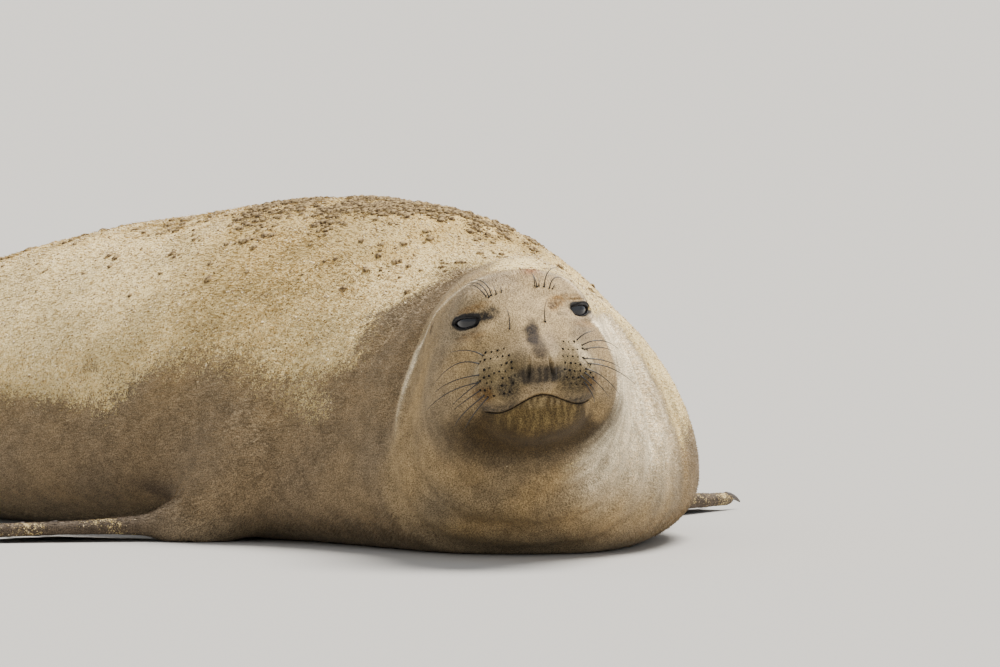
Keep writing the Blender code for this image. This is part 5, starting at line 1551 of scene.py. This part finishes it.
@dataclass(frozen=True)
class CoatFinish:
    """Finish of the skin and its tufts."""

    name: str
    roughness: float = 0.78
    sheen: float = 0.03
    streaks: float = 0.85
    sand: float = 1.0
    bump: float = 0.0015

    def build(self, groups: "Groups") -> bpy.types.Material:
        """Make the material.

        Args:
            groups: the shared shader groups.

        Returns:
            A material that reads tint, sand, damp and lie from the mesh.
        """
        material = bpy.data.materials.new(self.name)
        material.use_nodes = True
        tree = Tree(material.node_tree)
        shader = material.node_tree.nodes["Principled BSDF"]
        tint = tree.add("ShaderNodeAttribute", attribute_name="tint").outputs["Color"]
        cover = tree.add("ShaderNodeAttribute", attribute_name="sand").outputs["Fac"]
        damp = tree.add("ShaderNodeAttribute", attribute_name="damp").outputs["Fac"]
        lie = tree.add("ShaderNodeAttribute", attribute_name="lie").outputs["Vector"]
        fur = tree.add("ShaderNodeGroup", node_tree=groups.fur)
        tree.tree.links.new(tint, fur.inputs["Color"])
        tree.tree.links.new(lie, fur.inputs["Lie"])
        fur.inputs["Contrast"].default_value = self.streaks
        grains = tree.add("ShaderNodeGroup", node_tree=groups.sand)
        tree.tree.links.new(tree.math("MULTIPLY", cover, self.sand), grains.inputs["Cover"])
        tree.tree.links.new(damp, grains.inputs["Damp"])
        colour = tree.mixed(grains.outputs["Mask"], fur.outputs["Color"], grains.outputs["Color"])
        tree.tree.links.new(colour, shader.inputs["Base Color"])
        rough = tree.span(grains.outputs["Mask"], 0.0, 1.0, self.roughness, 0.95)
        tree.tree.links.new(rough, shader.inputs["Roughness"])
        shader.inputs["Sheen Weight"].default_value = self.sheen
        shader.inputs["Sheen Roughness"].default_value = 0.5
        shader.inputs["Specular IOR Level"].default_value = 0.20
        if self.bump:
            sandy = tree.math("MULTIPLY", grains.outputs["Height"], grains.outputs["Mask"])
            hairy = tree.math("MULTIPLY", fur.outputs["Height"], 0.55)
            bump = tree.add("ShaderNodeBump", {"Height": tree.math("ADD", sandy, hairy),
                                               "Strength": 1.0, "Distance": self.bump})
            tree.tree.links.new(bump.outputs[0], shader.inputs["Normal"])
        return material


@dataclass(frozen=True)
class PlainFinish:
    """A finish of one colour."""

    name: str
    colour: Colour
    roughness: float
    coat: float = 0.0
    specular: float = 0.5

    def build(self) -> bpy.types.Material:
        """Make the material."""
        material = bpy.data.materials.new(self.name)
        material.use_nodes = True
        shader = material.node_tree.nodes["Principled BSDF"]
        shader.inputs["Base Color"].default_value = opaque(self.colour)
        shader.inputs["Roughness"].default_value = self.roughness
        shader.inputs["Coat Weight"].default_value = self.coat
        shader.inputs["Coat Roughness"].default_value = 0.03
        shader.inputs["Specular IOR Level"].default_value = self.specular
        return material


@dataclass(frozen=True)
class StrewnFinish:
    """Finish of loose sand, each body a colour of its own between two."""

    name: str
    darkest: Colour
    palest: Colour
    cell: float = 240.0

    def build(self) -> bpy.types.Material:
        """Make the material."""
        material = bpy.data.materials.new(self.name)
        material.use_nodes = True
        tree = Tree(material.node_tree)
        shader = material.node_tree.nodes["Principled BSDF"]
        place = tree.add("ShaderNodeTexCoord").outputs["Object"]
        share = tree.noise(place, self.cell, 1.0, Roughness=0.4).outputs["Fac"]
        share = tree.span(share, 0.36, 0.64)
        tree.tree.links.new(tree.mixed(share, opaque(self.darkest), opaque(self.palest)),
                            shader.inputs["Base Color"])
        shader.inputs["Roughness"].default_value = 0.95
        shader.inputs["Specular IOR Level"].default_value = 0.25
        return material


class Groups:
    """The shader groups that several materials share."""

    def __init__(self) -> None:
        """Make each group once."""
        self.sand = SandShader.build(SandColours())
        self.fur = FurShader.build()


def dress(obj: bpy.types.Object, material: bpy.types.Material) -> None:
    """Give a piece its material and its body."""
    obj.data.materials.clear()
    obj.data.materials.append(material)
    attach(obj, BODY)
    LOG.info("%s: %d faces", obj.name, len(obj.data.polygons))


@dataclass
class Eyeball:
    """A wet dark eyeball with a clear bulge in front."""

    body: Body
    side: Side
    bulge: float = 0.0010
    bulge_half: float = math.radians(26)

    def build(self, material: bpy.types.Material) -> bpy.types.Object:
        """Make the eyeball in place of its node."""
        head = self.body.head
        bm = bmesh.new()
        bmesh.ops.create_uvsphere(bm, u_segments=48, v_segments=32, radius=head.eye.radius)
        mesh = mesh_of(bm, f"eyeball_{self.side.word}")
        points = read_points(mesh)
        rays = points / np.linalg.norm(points, axis=1, keepdims=True)
        away = np.arccos(np.clip(rays[:, 2], -1.0, 1.0))
        points += rays * (self.bulge * ramp(away, self.bulge_half, 0.0))[:, None]
        axes = head.eye.axes(self.side.value)
        frame_axes = np.stack([axes[0], np.cross(axes[2], axes[0]), axes[2]], axis=1)
        write_points(mesh, head.world(head.eye.centre(self.side.value) + points @ frame_axes.T)
                     + self.body.shift)
        add_attribute(mesh, "away", "FLOAT", away)
        mesh.shade_smooth()
        eye = new_object(mesh.name, mesh)
        dress(eye, material)
        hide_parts(f"eye_{self.side.word}")
        return eye


# Pieces that are laid on the skin

@dataclass(frozen=True)
class Hair:
    """A whisker in the head's frame: its root seen from the front, a bend and its tip."""

    root: tuple[float, float]
    bend: tuple[float, float, float]
    tip: tuple[float, float, float]

    def line(self, head: Head, sunk: float, knots: int) -> Array:
        """Points along the whisker, from under the skin to the tip."""
        root = head.face_point(*self.root)
        bend, tip = np.array(self.bend), np.array(self.tip)
        pull = 2 * bend - (root + tip) / 2
        share = np.linspace(0.0, 1.0, knots)[:, None]
        curve = root * (1 - share) ** 2 + pull * 2 * share * (1 - share) + tip * share ** 2
        return np.vstack([root - head.normal(root) * sunk, curve])


@dataclass
class Whiskers:
    """Whiskers of the pads, the brows and the nose."""

    body: Body
    root_radius: float = 0.00100
    middle_radius: float = 0.00068
    tip_radius: float = 0.00022
    sunk: float = 0.004
    knots: int = 11
    right: tuple[Hair, ...] = (
        Hair((-0.0714, -0.0445), (-0.0908, 0.0609, -0.0358), (-0.1130, 0.0380, -0.0377)),
        Hair((-0.0790, -0.0553), (-0.1098, 0.0553, -0.0542), (-0.1394, 0.0236, -0.0811)),
        Hair((-0.0830, -0.0701), (-0.1166, 0.0672, -0.0762), (-0.1410, 0.0387, -0.0913)),
        Hair((-0.0850, -0.0805), (-0.1224, 0.0539, -0.0926), (-0.1527, 0.0191, -0.1168)),
        Hair((-0.0820, -0.0783), (-0.1082, 0.0744, -0.0986), (-0.1217, 0.0539, -0.1132)),
        Hair((-0.0830, -0.0912), (-0.1032, 0.0756, -0.1051), (-0.1195, 0.0560, -0.1183)),
        Hair((-0.0790, -0.0990), (-0.1048, 0.0620, -0.1230), (-0.1179, 0.0400, -0.1425)),
        Hair((-0.0740, -0.1013), (-0.0950, 0.0865, -0.1249), (-0.1092, 0.0646, -0.1490)),
        Hair((-0.0449, 0.0360), (-0.0523, 0.0200, 0.0547), (-0.0686, 0.0027, 0.0590)),
        Hair((-0.0488, 0.0337), (-0.0596, 0.0198, 0.0533), (-0.0780, 0.0023, 0.0529)),
        Hair((-0.0525, 0.0353), (-0.0628, 0.0187, 0.0493), (-0.0710, 0.0070, 0.0524)),
        Hair((-0.0379, 0.0367), (-0.0387, 0.0279, 0.0428), (-0.0402, 0.0218, 0.0484)),
        Hair((-0.0300, 0.0387), (-0.0299, 0.0270, 0.0432), (-0.0297, 0.0229, 0.0472)),
        Hair((-0.0304, -0.0106), (-0.0291, 0.0760, 0.0073), (-0.0308, 0.0680, 0.0173)),
    )
    left: tuple[Hair, ...] = (
        Hair((0.0649, -0.0378), (0.0794, 0.0689, -0.0298), (0.0955, 0.0587, -0.0294)),
        Hair((0.0710, -0.0460), (0.0988, 0.0693, -0.0426), (0.1250, 0.0529, -0.0582)),
        Hair((0.0721, -0.0515), (0.0966, 0.0779, -0.0516), (0.1155, 0.0648, -0.0606)),
        Hair((0.0680, -0.0628), (0.0977, 0.0968, -0.0695), (0.1225, 0.0792, -0.0840)),
        Hair((0.0730, -0.0706), (0.1072, 0.0974, -0.0819), (0.1414, 0.0729, -0.1099)),
        Hair((0.0682, -0.0769), (0.0940, 0.1049, -0.0934), (0.1178, 0.0830, -0.1241)),
        Hair((0.0659, -0.0823), (0.0840, 0.1080, -0.1007), (0.0990, 0.0920, -0.1212)),
        Hair((0.0631, -0.0950), (0.0736, 0.1084, -0.1142), (0.0769, 0.0977, -0.1270)),
        Hair((0.0593, -0.0858), (0.0714, 0.1120, -0.0989), (0.0802, 0.1005, -0.1151)),
        Hair((0.0322, 0.0391), (0.0416, 0.0200, 0.0598), (0.0600, 0.0083, 0.0639)),
        Hair((0.0390, 0.0367), (0.0486, 0.0251, 0.0500), (0.0626, 0.0184, 0.0465)),
        Hair((0.0431, 0.0352), (0.0461, 0.0299, 0.0391), (0.0499, 0.0258, 0.0427)),
        Hair((0.0252, 0.0412), (0.0261, 0.0232, 0.0467), (0.0274, 0.0180, 0.0520)),
        Hair((0.0196, 0.0417), (0.0197, 0.0214, 0.0487), (0.0196, 0.0146, 0.0555)),
        Hair((0.0220, 0.0402), (0.0210, 0.0218, 0.0515), (0.0178, 0.0108, 0.0612)),
        Hair((0.0211, -0.0062), (0.0223, 0.0780, 0.0093), (0.0282, 0.0690, 0.0230)),
    )

    def build(self, material: bpy.types.Material) -> None:
        """Make one piece of whiskers for each side."""
        head = self.body.head
        stops = np.linspace(0.0, 1.0, self.knots)
        radii = np.interp(stops, (0.0, 0.6, 1.0), (self.root_radius, self.middle_radius, self.tip_radius))
        radii = np.concatenate([[self.root_radius], radii])
        for side, hairs in ((Side.LEFT, self.left), (Side.RIGHT, self.right)):
            lines = [(head.world(hair.line(head, self.sunk, self.knots)) + self.body.shift, radii)
                     for hair in hairs]
            mesh = tubes(f"whiskers_{side.word}", lines)
            dress(new_object(mesh.name, mesh), material)


@dataclass
class LidRims:
    """Thick dark rims of the lids."""

    body: Body
    radius: float = 0.0017
    out: float = 0.0024

    def build(self, material: bpy.types.Material) -> None:
        """Make one rim for each eye."""
        head = self.body.head
        for side in Side:
            loop = head.world(head.eye.rim(side.value, self.out)) + self.body.shift
            lift = (loop[:, 2] - loop[:, 2].min()) / np.ptp(loop[:, 2])
            wave = 0.45 + 0.55 * lift + 0.14 * np.sin(np.arange(len(loop)) * 2.3)
            mesh = tubes(f"lid_rims_{side.word}", [(loop, self.radius * wave)], closed=True)
            dress(new_object(mesh.name, mesh), material)


@dataclass
class MouthLine:
    """The dark line in the bottom of the closed mouth's groove: dark lip skin, and painted shade in the closed gap
    between the lips.
    """

    body: Body
    radius: float = 0.0009
    sunk: float = 0.0030

    def build(self, material: bpy.types.Material) -> None:
        """Make the line from corner to corner."""
        head = self.body.head
        reach = head.mouth_corner - 0.002
        across = np.linspace(-reach, reach, 45)
        heights = head.mouth_height(across)
        line = np.array([head.face_point(place, height, self.sunk)
                         for place, height in zip(across, heights)])
        radii = self.radius * (0.35 + 0.65 * np.sqrt(np.cos(math.pi / 2 * across / head.mouth_corner)))
        mesh = tubes("mouth_line", [(head.world(line) + self.body.shift, radii)])
        dress(new_object(mesh.name, mesh), material)


@dataclass
class Claws:
    """The five blunt claws of each fore flipper."""

    body: Body
    length: float = 0.046
    radii: tuple[float, float] = (0.0058, 0.0014)
    base: float = 0.93
    rise: float = 0.006
    drop: float = 0.011
    knots: int = 9

    def build(self, material: bpy.types.Material) -> None:
        """Make the claws of both sides."""
        for side in Side:
            flipper = self.body.flippers[f"fore_flipper_{side.word}"]
            lines = []
            for place in range(len(flipper.order)):
                start = flipper.ray_at(place, self.base)
                heading = unit(flipper.ray_at(place, 1.0) - start)
                share = np.linspace(0.0, 1.0, self.knots)
                points = start + heading * (share * self.length)[:, None]
                points[:, 2] += self.rise - self.drop * share * share
                points[:, 2] = np.maximum(points[:, 2], self.radii[0])
                radii = self.radii[0] + (self.radii[1] - self.radii[0]) * share ** 1.7
                lines.append((points + self.body.shift, radii))
            mesh = tubes(f"claws_{side.word}", lines, 2)
            dress(new_object(mesh.name, mesh), material)


class Scatter:
    """Geometry Nodes that set many small bodies on a mesh and join them into one piece."""

    def __init__(self, title: str, inputs: dict[str, tuple[str, object]]) -> None:
        """Start a group with a geometry input, the given inputs and a geometry output."""
        whole = {"Geometry": ("NodeSocketGeometry", None), **inputs,
                 "Material": ("NodeSocketMaterial", None)}
        parts = new_group(title, whole, {"Geometry": "NodeSocketGeometry"}, "GeometryNodeTree")
        self.group, self.tree, self.given, self.result = parts

    def attribute(self, name: object, kind: str = "FLOAT") -> Socket:
        """A named attribute of the mesh."""
        return self.tree.add("GeometryNodeInputNamedAttribute", {"Name": name}, data_type=kind).outputs[0]

    def random(self, low: float, high: float, seed: int) -> Socket:
        """A random value for each body."""
        node = self.tree.add("FunctionNodeRandomValue", {2: low, 3: high, "Seed": seed}, data_type="FLOAT")
        return node.outputs[1]

    def vector(self, operation: str, *values: object, output: int = 0) -> Socket:
        """Result of a vector sum."""
        node = self.tree.add("ShaderNodeVectorMath", operation=operation)
        for index, value in enumerate(values):
            key = "Scale" if operation == "SCALE" and index == 1 else index
            if isinstance(value, Socket):
                self.tree.tree.links.new(value, node.inputs[key])
            else:
                node.inputs[key].default_value = value
        return node.outputs[output]

    def finish(self, geometry: Socket, smooth: bool) -> None:
        """Set shading and material, and give the geometry out."""
        shaded = self.tree.add("GeometryNodeSetShadeSmooth", {"Geometry": geometry, "Shade Smooth": smooth})
        painted = self.tree.add("GeometryNodeSetMaterial", {
            "Geometry": shaded.outputs[0], "Material": self.given.outputs["Material"]})
        self.tree.tree.links.new(painted.outputs[0], self.result.inputs[0])

    def run(self, source: bpy.types.Object, name: str, values: dict[str, object]) -> bpy.types.Object:
        """Run the group on a copy of a mesh.

        Args:
            source: the object whose mesh carries the bodies.
            name: name of the new piece.
            values: value of each of the group's inputs.

        Returns:
            The joined piece.
        """
        piece = new_object(name, source.data.copy())
        modifier = piece.modifiers.new("scatter", "NODES")
        modifier.node_group = self.group
        sockets = {item.name: item.identifier for item in self.group.interface.items_tree
                   if item.in_out == "INPUT"}
        for title, value in values.items():
            modifier[sockets[title]] = value
        bake_modifiers(piece)
        piece.data.name = name
        return piece


def drop_attributes(mesh: bpy.types.Mesh, kept: Sequence[str]) -> None:
    """Take a mesh's own named attributes off, apart from the kept ones."""
    names = [item.name for item in mesh.attributes
             if not item.is_internal and not item.is_required and item.name not in kept]
    for name in names:
        mesh.attributes.remove(mesh.attributes[name])


SHADED = ("tint", "sand", "damp", "lie")
BAKED = (*SHADED, BAKE_MAP, "sharp_face", "material_index")


@dataclass
class Coat:
    """Short flat tufts of fur, each a slim closed cone that lies along the skin."""

    body: Body
    most: int = 47000
    bake_size: float = 0.003
    # Piece, slot, length, radius, lift off the skin and spread of the tufts
    stretches: tuple[tuple, ...] = (
        ("fur_head", "face_coat", 0.0058, 0.00050, 0.24, 0.16),
        ("fur_neck", "coat", 0.0080, 0.00070, 0.20, 0.18),
        ("fur_shoulders", "coat", 0.0088, 0.00085, 0.20, 0.20),
        ("fur_belly", "coat", 0.0095, 0.00090, 0.20, 0.20),
        ("fur_hips", "coat", 0.0095, 0.00090, 0.20, 0.20),
        ("fur_flippers", "flipper_skin", 0.0060, 0.00060, 0.20, 0.15),
    )

    def nodes(self) -> Scatter:
        """The group that grows tufts where a density attribute says."""
        scatter = Scatter("tufts", {
            "Where": ("NodeSocketString", "fur_head"), "Density": ("NodeSocketFloat", 1000.0),
            "Length": ("NodeSocketFloat", 0.006), "Radius": ("NodeSocketFloat", 0.0005),
            "Lift": ("NodeSocketFloat", 0.2), "Spread": ("NodeSocketFloat", 0.15)})
        tree, given = scatter.tree, scatter.given.outputs
        dense = tree.math("MULTIPLY", scatter.attribute(given["Where"]), given["Density"])
        spots = tree.add("GeometryNodeDistributePointsOnFaces",
                         {"Mesh": given["Geometry"], "Density": dense, "Seed": 11})
        comb = scatter.attribute("comb", "FLOAT_VECTOR")
        lifted = scatter.vector("SCALE", spots.outputs["Normal"], given["Lift"])
        jitter = tree.add("FunctionNodeRandomValue", {0: (-1.0, -1.0, -1.0), 1: (1.0, 1.0, 1.0), "Seed": 5},
                          data_type="FLOAT_VECTOR").outputs[0]
        jitter = scatter.vector("SCALE", jitter, given["Spread"])
        heading = scatter.vector("ADD", scatter.vector("ADD", comb, lifted), jitter)
        turn = tree.add("FunctionNodeAlignRotationToVector", {"Vector": heading}, axis="Z")
        cone = tree.add("GeometryNodeMeshCone", {
            "Vertices": 3, "Side Segments": 1, "Fill Segments": 1, "Radius Top": 0.0,
            "Radius Bottom": given["Radius"], "Depth": given["Length"]}, fill_type="NGON")
        size = tree.math("MULTIPLY", scatter.random(0.6, 1.35, 3), scatter.attribute("fur_size"))
        scale = tree.add("ShaderNodeCombineXYZ", {"X": scatter.attribute("fur_size"),
                                                  "Y": scatter.attribute("fur_size"), "Z": size})
        sunk = scatter.vector("SCALE", spots.outputs["Normal"], -0.0004)
        set_in = tree.add("GeometryNodeSetPosition", {"Geometry": spots.outputs["Points"], "Offset": sunk})
        grown = tree.add("GeometryNodeInstanceOnPoints", {
            "Points": set_in.outputs[0], "Instance": cone.outputs["Mesh"],
            "Rotation": turn.outputs[0], "Scale": scale.outputs[0]})
        joined = tree.add("GeometryNodeRealizeInstances", {"Geometry": grown.outputs[0]})
        patch = scatter.vector("SCALE", cone.outputs["UV Map"], self.bake_size)
        unwrapped = scatter.vector("ADD", scatter.attribute("unrolled", "FLOAT_VECTOR"), patch)
        stored = tree.add("GeometryNodeStoreNamedAttribute", {
            "Geometry": joined.outputs[0], "Name": BAKE_MAP, "Value": unwrapped},
            data_type="FLOAT2", domain="CORNER")
        scatter.finish(stored.outputs[0], False)
        return scatter

    def build(self, skin: bpy.types.Object, material: bpy.types.Material) -> None:
        """Grow each piece of the coat on the skin."""
        scatter = self.nodes()
        areas = vertex_areas(skin.data)
        for name, slot, length, radius, lift, spread in self.stretches:
            share = read_values(skin.data, name)
            density = self.most / float(np.maximum((share * areas).sum(), 0.5 * areas[share > 0].sum()))
            piece = scatter.run(skin, name, {
                "Where": name, "Density": density, "Length": length, "Radius": radius,
                "Lift": lift, "Spread": spread, "Material": material})
            drop_attributes(piece.data, BAKED)
            dress(piece, material)


def read_values(mesh: bpy.types.Mesh, name: str) -> Array:
    """A named value of each vertex."""
    values = np.empty(len(mesh.vertices))
    mesh.attributes[name].data.foreach_get("value", values)
    return values


def vertex_areas(mesh: bpy.types.Mesh) -> Array:
    """Each vertex's share of the mesh's surface."""
    areas = np.zeros(len(mesh.vertices))
    for face in mesh.polygons:
        areas[list(face.vertices)] += face.area / len(face.vertices)
    return areas


@dataclass
class SandCrumbs:
    """Crumbs of damp sand on the back, and lumps and loose grains wherever sand lies."""

    body: Body
    # Piece, how many, smallest and largest size, steepness, roughness, segments and rings
    kinds: tuple[tuple, ...] = (
        ("crumbs", 12000, 0.0013, 0.0085, 9.0, 0.0034, 4, 3),
        ("lumps", 22000, 0.0011, 0.0032, 2.5, 0.0012, 4, 2),
        ("grains", 30000, 0.0007, 0.0015, 1.5, 0.0004, 3, 2),
    )

    def nodes(self) -> Scatter:
        """The group that strews bodies of many sizes."""
        scatter = Scatter("strewn sand", {
            "Where": ("NodeSocketString", "crumbs"), "Density": ("NodeSocketFloat", 100.0),
            "Smallest": ("NodeSocketFloat", 0.001), "Largest": ("NodeSocketFloat", 0.01),
            "Steepness": ("NodeSocketFloat", 6.0), "Roughness": ("NodeSocketFloat", 0.3),
            "Segments": ("NodeSocketInt", 6), "Rings": ("NodeSocketInt", 3)})
        tree, given = scatter.tree, scatter.given.outputs
        dense = tree.math("MULTIPLY", scatter.attribute(given["Where"]), given["Density"])
        spots = tree.add("GeometryNodeDistributePointsOnFaces",
                         {"Mesh": given["Geometry"], "Density": dense, "Seed": 23})
        steep = tree.math("POWER", scatter.random(0.0, 1.0, 4), given["Steepness"])
        span = tree.math("SUBTRACT", given["Largest"], given["Smallest"])
        size = tree.math("ADD", given["Smallest"], tree.math("MULTIPLY", steep, span))
        wide = tree.math("MULTIPLY", size, scatter.random(0.8, 1.5, 8))
        scale = tree.add("ShaderNodeCombineXYZ", {"X": wide, "Y": size, "Z": tree.math("MULTIPLY", size, 0.6)})
        ball = tree.add("GeometryNodeMeshUVSphere", {
            "Radius": 1.0, "Segments": given["Segments"], "Rings": given["Rings"]})
        spin = tree.add("FunctionNodeRandomValue", {0: (0.0, 0.0, 0.0), 1: (6.28, 6.28, 6.28), "Seed": 6},
                        data_type="FLOAT_VECTOR").outputs[0]
        flat = tree.add("FunctionNodeAlignRotationToVector", {"Vector": spots.outputs["Normal"]}, axis="Z")
        turn = tree.add("FunctionNodeRotateRotation", {
            "Rotation": flat.outputs[0],
            "Rotate By": tree.add("ShaderNodeCombineXYZ", {"Z": tree.add(
                "ShaderNodeSeparateXYZ", {0: spin}).outputs[0]}).outputs[0]}, rotation_space="LOCAL")
        strewn = tree.add("GeometryNodeInstanceOnPoints", {
            "Points": spots.outputs["Points"], "Instance": ball.outputs["Mesh"],
            "Rotation": turn.outputs[0], "Scale": scale.outputs[0]})
        joined = tree.add("GeometryNodeRealizeInstances", {"Geometry": strewn.outputs[0]})
        noise = tree.noise(None, 330.0, 2.0).outputs["Color"]
        push = scatter.vector("SCALE", scatter.vector("SUBTRACT", noise, (0.5, 0.5, 0.5)), given["Roughness"])
        lumpy = tree.add("GeometryNodeSetPosition", {"Geometry": joined.outputs[0], "Offset": push})
        stored = tree.add("GeometryNodeStoreNamedAttribute", {
            "Geometry": lumpy.outputs[0], "Name": BAKE_MAP,
            "Value": scatter.attribute("unrolled", "FLOAT_VECTOR")}, data_type="FLOAT2", domain="CORNER")
        scatter.finish(stored.outputs[0], True)
        return scatter

    def build(self, skin: bpy.types.Object, damp: bpy.types.Material, dry: bpy.types.Material) -> None:
        """Strew the crumbs and the grains."""
        scatter = self.nodes()
        areas = vertex_areas(skin.data)
        for name, count, smallest, largest, steepness, roughness, segments, rings in self.kinds:
            material = damp if name == "crumbs" else dry
            density = count / float((read_values(skin.data, name) * areas).sum())
            piece = scatter.run(skin, f"sand_{name}", {
                "Where": name, "Density": density, "Smallest": smallest, "Largest": largest,
                "Steepness": steepness, "Roughness": roughness, "Segments": segments, "Rings": rings,
                "Material": material})
            drop_attributes(piece.data, BAKED)
            dress(piece, material)


@dataclass
class Follicles:
    """Rows of dark dots on the pads and the brows, where the whiskers grow."""

    body: Body
    rows: int = 7
    columns: int = 6
    nearest: tuple[float, float] = (0.036, -0.035)
    step: tuple[float, float] = (0.0077, 0.0098)
    slant: float = 0.0030
    radius: float = 0.0018
    proud: float = 0.0007

    def places(self) -> Array:
        """Middle of every dot in the row's frame."""
        head = self.body.head
        draw = np.random.default_rng(17)
        spots = []
        for side in Side:
            for row in range(self.rows):
                for column in range(self.columns):
                    if (row, column) in ((0, 0), (0, 5), (6, 0)) or draw.uniform() < 0.10:
                        continue
                    across = self.nearest[0] + self.step[0] * column + self.slant * (row % 2)
                    height = self.nearest[1] - self.step[1] * row - 0.0016 * column
                    across, height = np.array((across, height)) + draw.uniform(-0.0012, 0.0012, 2)
                    spots.append(head.face_point(side.value * across, height, self.radius - self.proud))
        for hair in (*Whiskers(self.body).left, *Whiskers(self.body).right):
            spots.append(head.face_point(*hair.root, self.radius - self.proud))
        return head.world(np.array(spots)) + self.body.shift

    def build(self, material: bpy.types.Material) -> None:
        """Make all the dots as one piece."""
        scatter = Scatter("dots", {"Radius": ("NodeSocketFloat", 0.001)})
        tree, given = scatter.tree, scatter.given.outputs
        ball = tree.add("GeometryNodeMeshIcoSphere", {"Radius": given["Radius"], "Subdivisions": 2})
        size = scatter.random(0.7, 1.2, 9)
        spots = tree.add("GeometryNodeMeshToPoints", {"Mesh": given["Geometry"]})
        dots = tree.add("GeometryNodeInstanceOnPoints", {
            "Points": spots.outputs[0], "Instance": ball.outputs["Mesh"], "Scale": size})
        joined = tree.add("GeometryNodeRealizeInstances", {"Geometry": dots.outputs[0]})
        scatter.finish(joined.outputs[0], True)
        mesh = bpy.data.meshes.new("roots")
        mesh.from_pydata(self.places().tolist(), [], [])
        roots = bpy.data.objects.new("roots", mesh)
        piece = scatter.run(roots, "follicles", {"Radius": self.radius, "Material": material})
        bpy.data.objects.remove(roots)
        dress(piece, material)


@dataclass
class Studio:
    """Floor, light and camera."""

    body: Body
    lens: float = 302.4
    away: float = 12.0
    height: float = 0.83
    azimuth: float = math.radians(-45.3)
    down: float = math.radians(2.390)
    aside: float = 22.1
    pixels_per_radian: float = 8400.0
    floor_size: float = 6000.0
    # Name, direction towards the light, its breadth in degrees, strength and colour
    suns: tuple[tuple, ...] = (
        ("key", (0.42, -0.10, 1.0), 32.0, 8.4, (1.0, 0.965, 0.91)),
        ("fill", (0.10, -0.95, 0.45), 60.0, 0.45, (0.93, 0.96, 1.0)),
    )

    def floor(self) -> None:
        """A plain pale floor."""
        bm = bmesh.new()
        bmesh.ops.create_grid(bm, x_segments=1, y_segments=1, size=self.floor_size / 2)
        mesh = bpy.data.meshes.new("floor")
        bm.to_mesh(mesh)
        bm.free()
        floor = new_object("floor", mesh)
        floor.data.materials.append(PlainFinish("floor", (0.42, 0.405, 0.38), 0.9, specular=0.2).build())

    def light(self) -> None:
        """A bright hazy sky with a broad soft sun."""
        world = bpy.data.worlds.new("sky")
        world.use_nodes = True
        background = world.node_tree.nodes["Background"]
        background.inputs["Color"].default_value = (0.93, 0.96, 1.0, 1.0)
        background.inputs["Strength"].default_value = 0.78
        bpy.context.scene.world = world
        for name, towards, breadth, power, colour in self.suns:
            lamp = bpy.data.lights.new(name, "SUN")
            lamp.angle = math.radians(breadth)
            lamp.energy = power
            lamp.color = colour
            obj = bpy.data.objects.new(name, lamp)
            bpy.context.scene.collection.objects.link(obj)
            obj.rotation_euler = (-Vector(towards)).to_track_quat("-Z", "Y").to_euler()

    def camera(self) -> None:
        """The camera, low in front of the head and far off."""
        ahead = np.array([-math.sin(self.azimuth), math.cos(self.azimuth), 0.0])
        right = np.array([ahead[1], -ahead[0], 0.0])
        middle = self.body.head.origin + self.body.shift
        place = middle - self.away * ahead - right * (self.aside / self.pixels_per_radian * self.away)
        place[2] = self.height
        data = bpy.data.cameras.new("camera")
        data.lens = self.lens
        data.sensor_width = 36.0
        data.clip_end = 5000.0
        camera = bpy.data.objects.new("camera", data)
        bpy.context.scene.collection.objects.link(camera)
        camera.location = place
        camera.rotation_euler = (math.pi / 2 - self.down, 0.0, self.azimuth)
        bpy.context.scene.camera = camera


def main() -> None:
    """Dress the whole animal and set up the picture."""
    logging.basicConfig(level=logging.INFO, format="%(name)s %(message)s", stream=sys.stdout)
    spine = Spine()
    body = Body(spine, Trunk(spine), Head(spine))
    groups = Groups()
    skin = Skin(body).build()
    coat = CoatFinish("coat").build(groups)
    dress(skin, coat)
    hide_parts(*FLESH_NODES)
    Coat(body).build(skin, CoatFinish("tufts", bump=0.0).build(groups))
    damp = StrewnFinish("damp_crumbs", (0.10, 0.065, 0.032), (0.36, 0.255, 0.120)).build()
    dry = StrewnFinish("dry_grains", (0.24, 0.155, 0.072), (0.82, 0.67, 0.42)).build()
    SandCrumbs(body).build(skin, damp, dry)
    # dark_skin: the follicles' dark skin; on the mouth line it is partly painted shade
    dark = PlainFinish("dark_skin", (0.012, 0.010, 0.008), 0.8, specular=0.1).build()
    Whiskers(body).build(PlainFinish("whisker", (0.020, 0.016, 0.013), 0.35).build())
    Follicles(body).build(dark)
    LidRims(body).build(PlainFinish("lid_rim", (0.016, 0.014, 0.014), 0.5, specular=0.25).build())
    MouthLine(body).build(dark)
    Claws(body).build(PlainFinish("claw", (0.060, 0.046, 0.036), 0.45).build())
    drop_attributes(skin.data, (*SHADED, "sharp_face"))
    eye = PlainFinish("eye", (0.010, 0.011, 0.015), 0.16, coat=0.25, specular=0.35).build()
    for side in Side:
        Eyeball(body, side).build(eye)
    studio = Studio(body)
    studio.floor()
    studio.light()
    studio.camera()


if __name__ == "__main__":
    main()
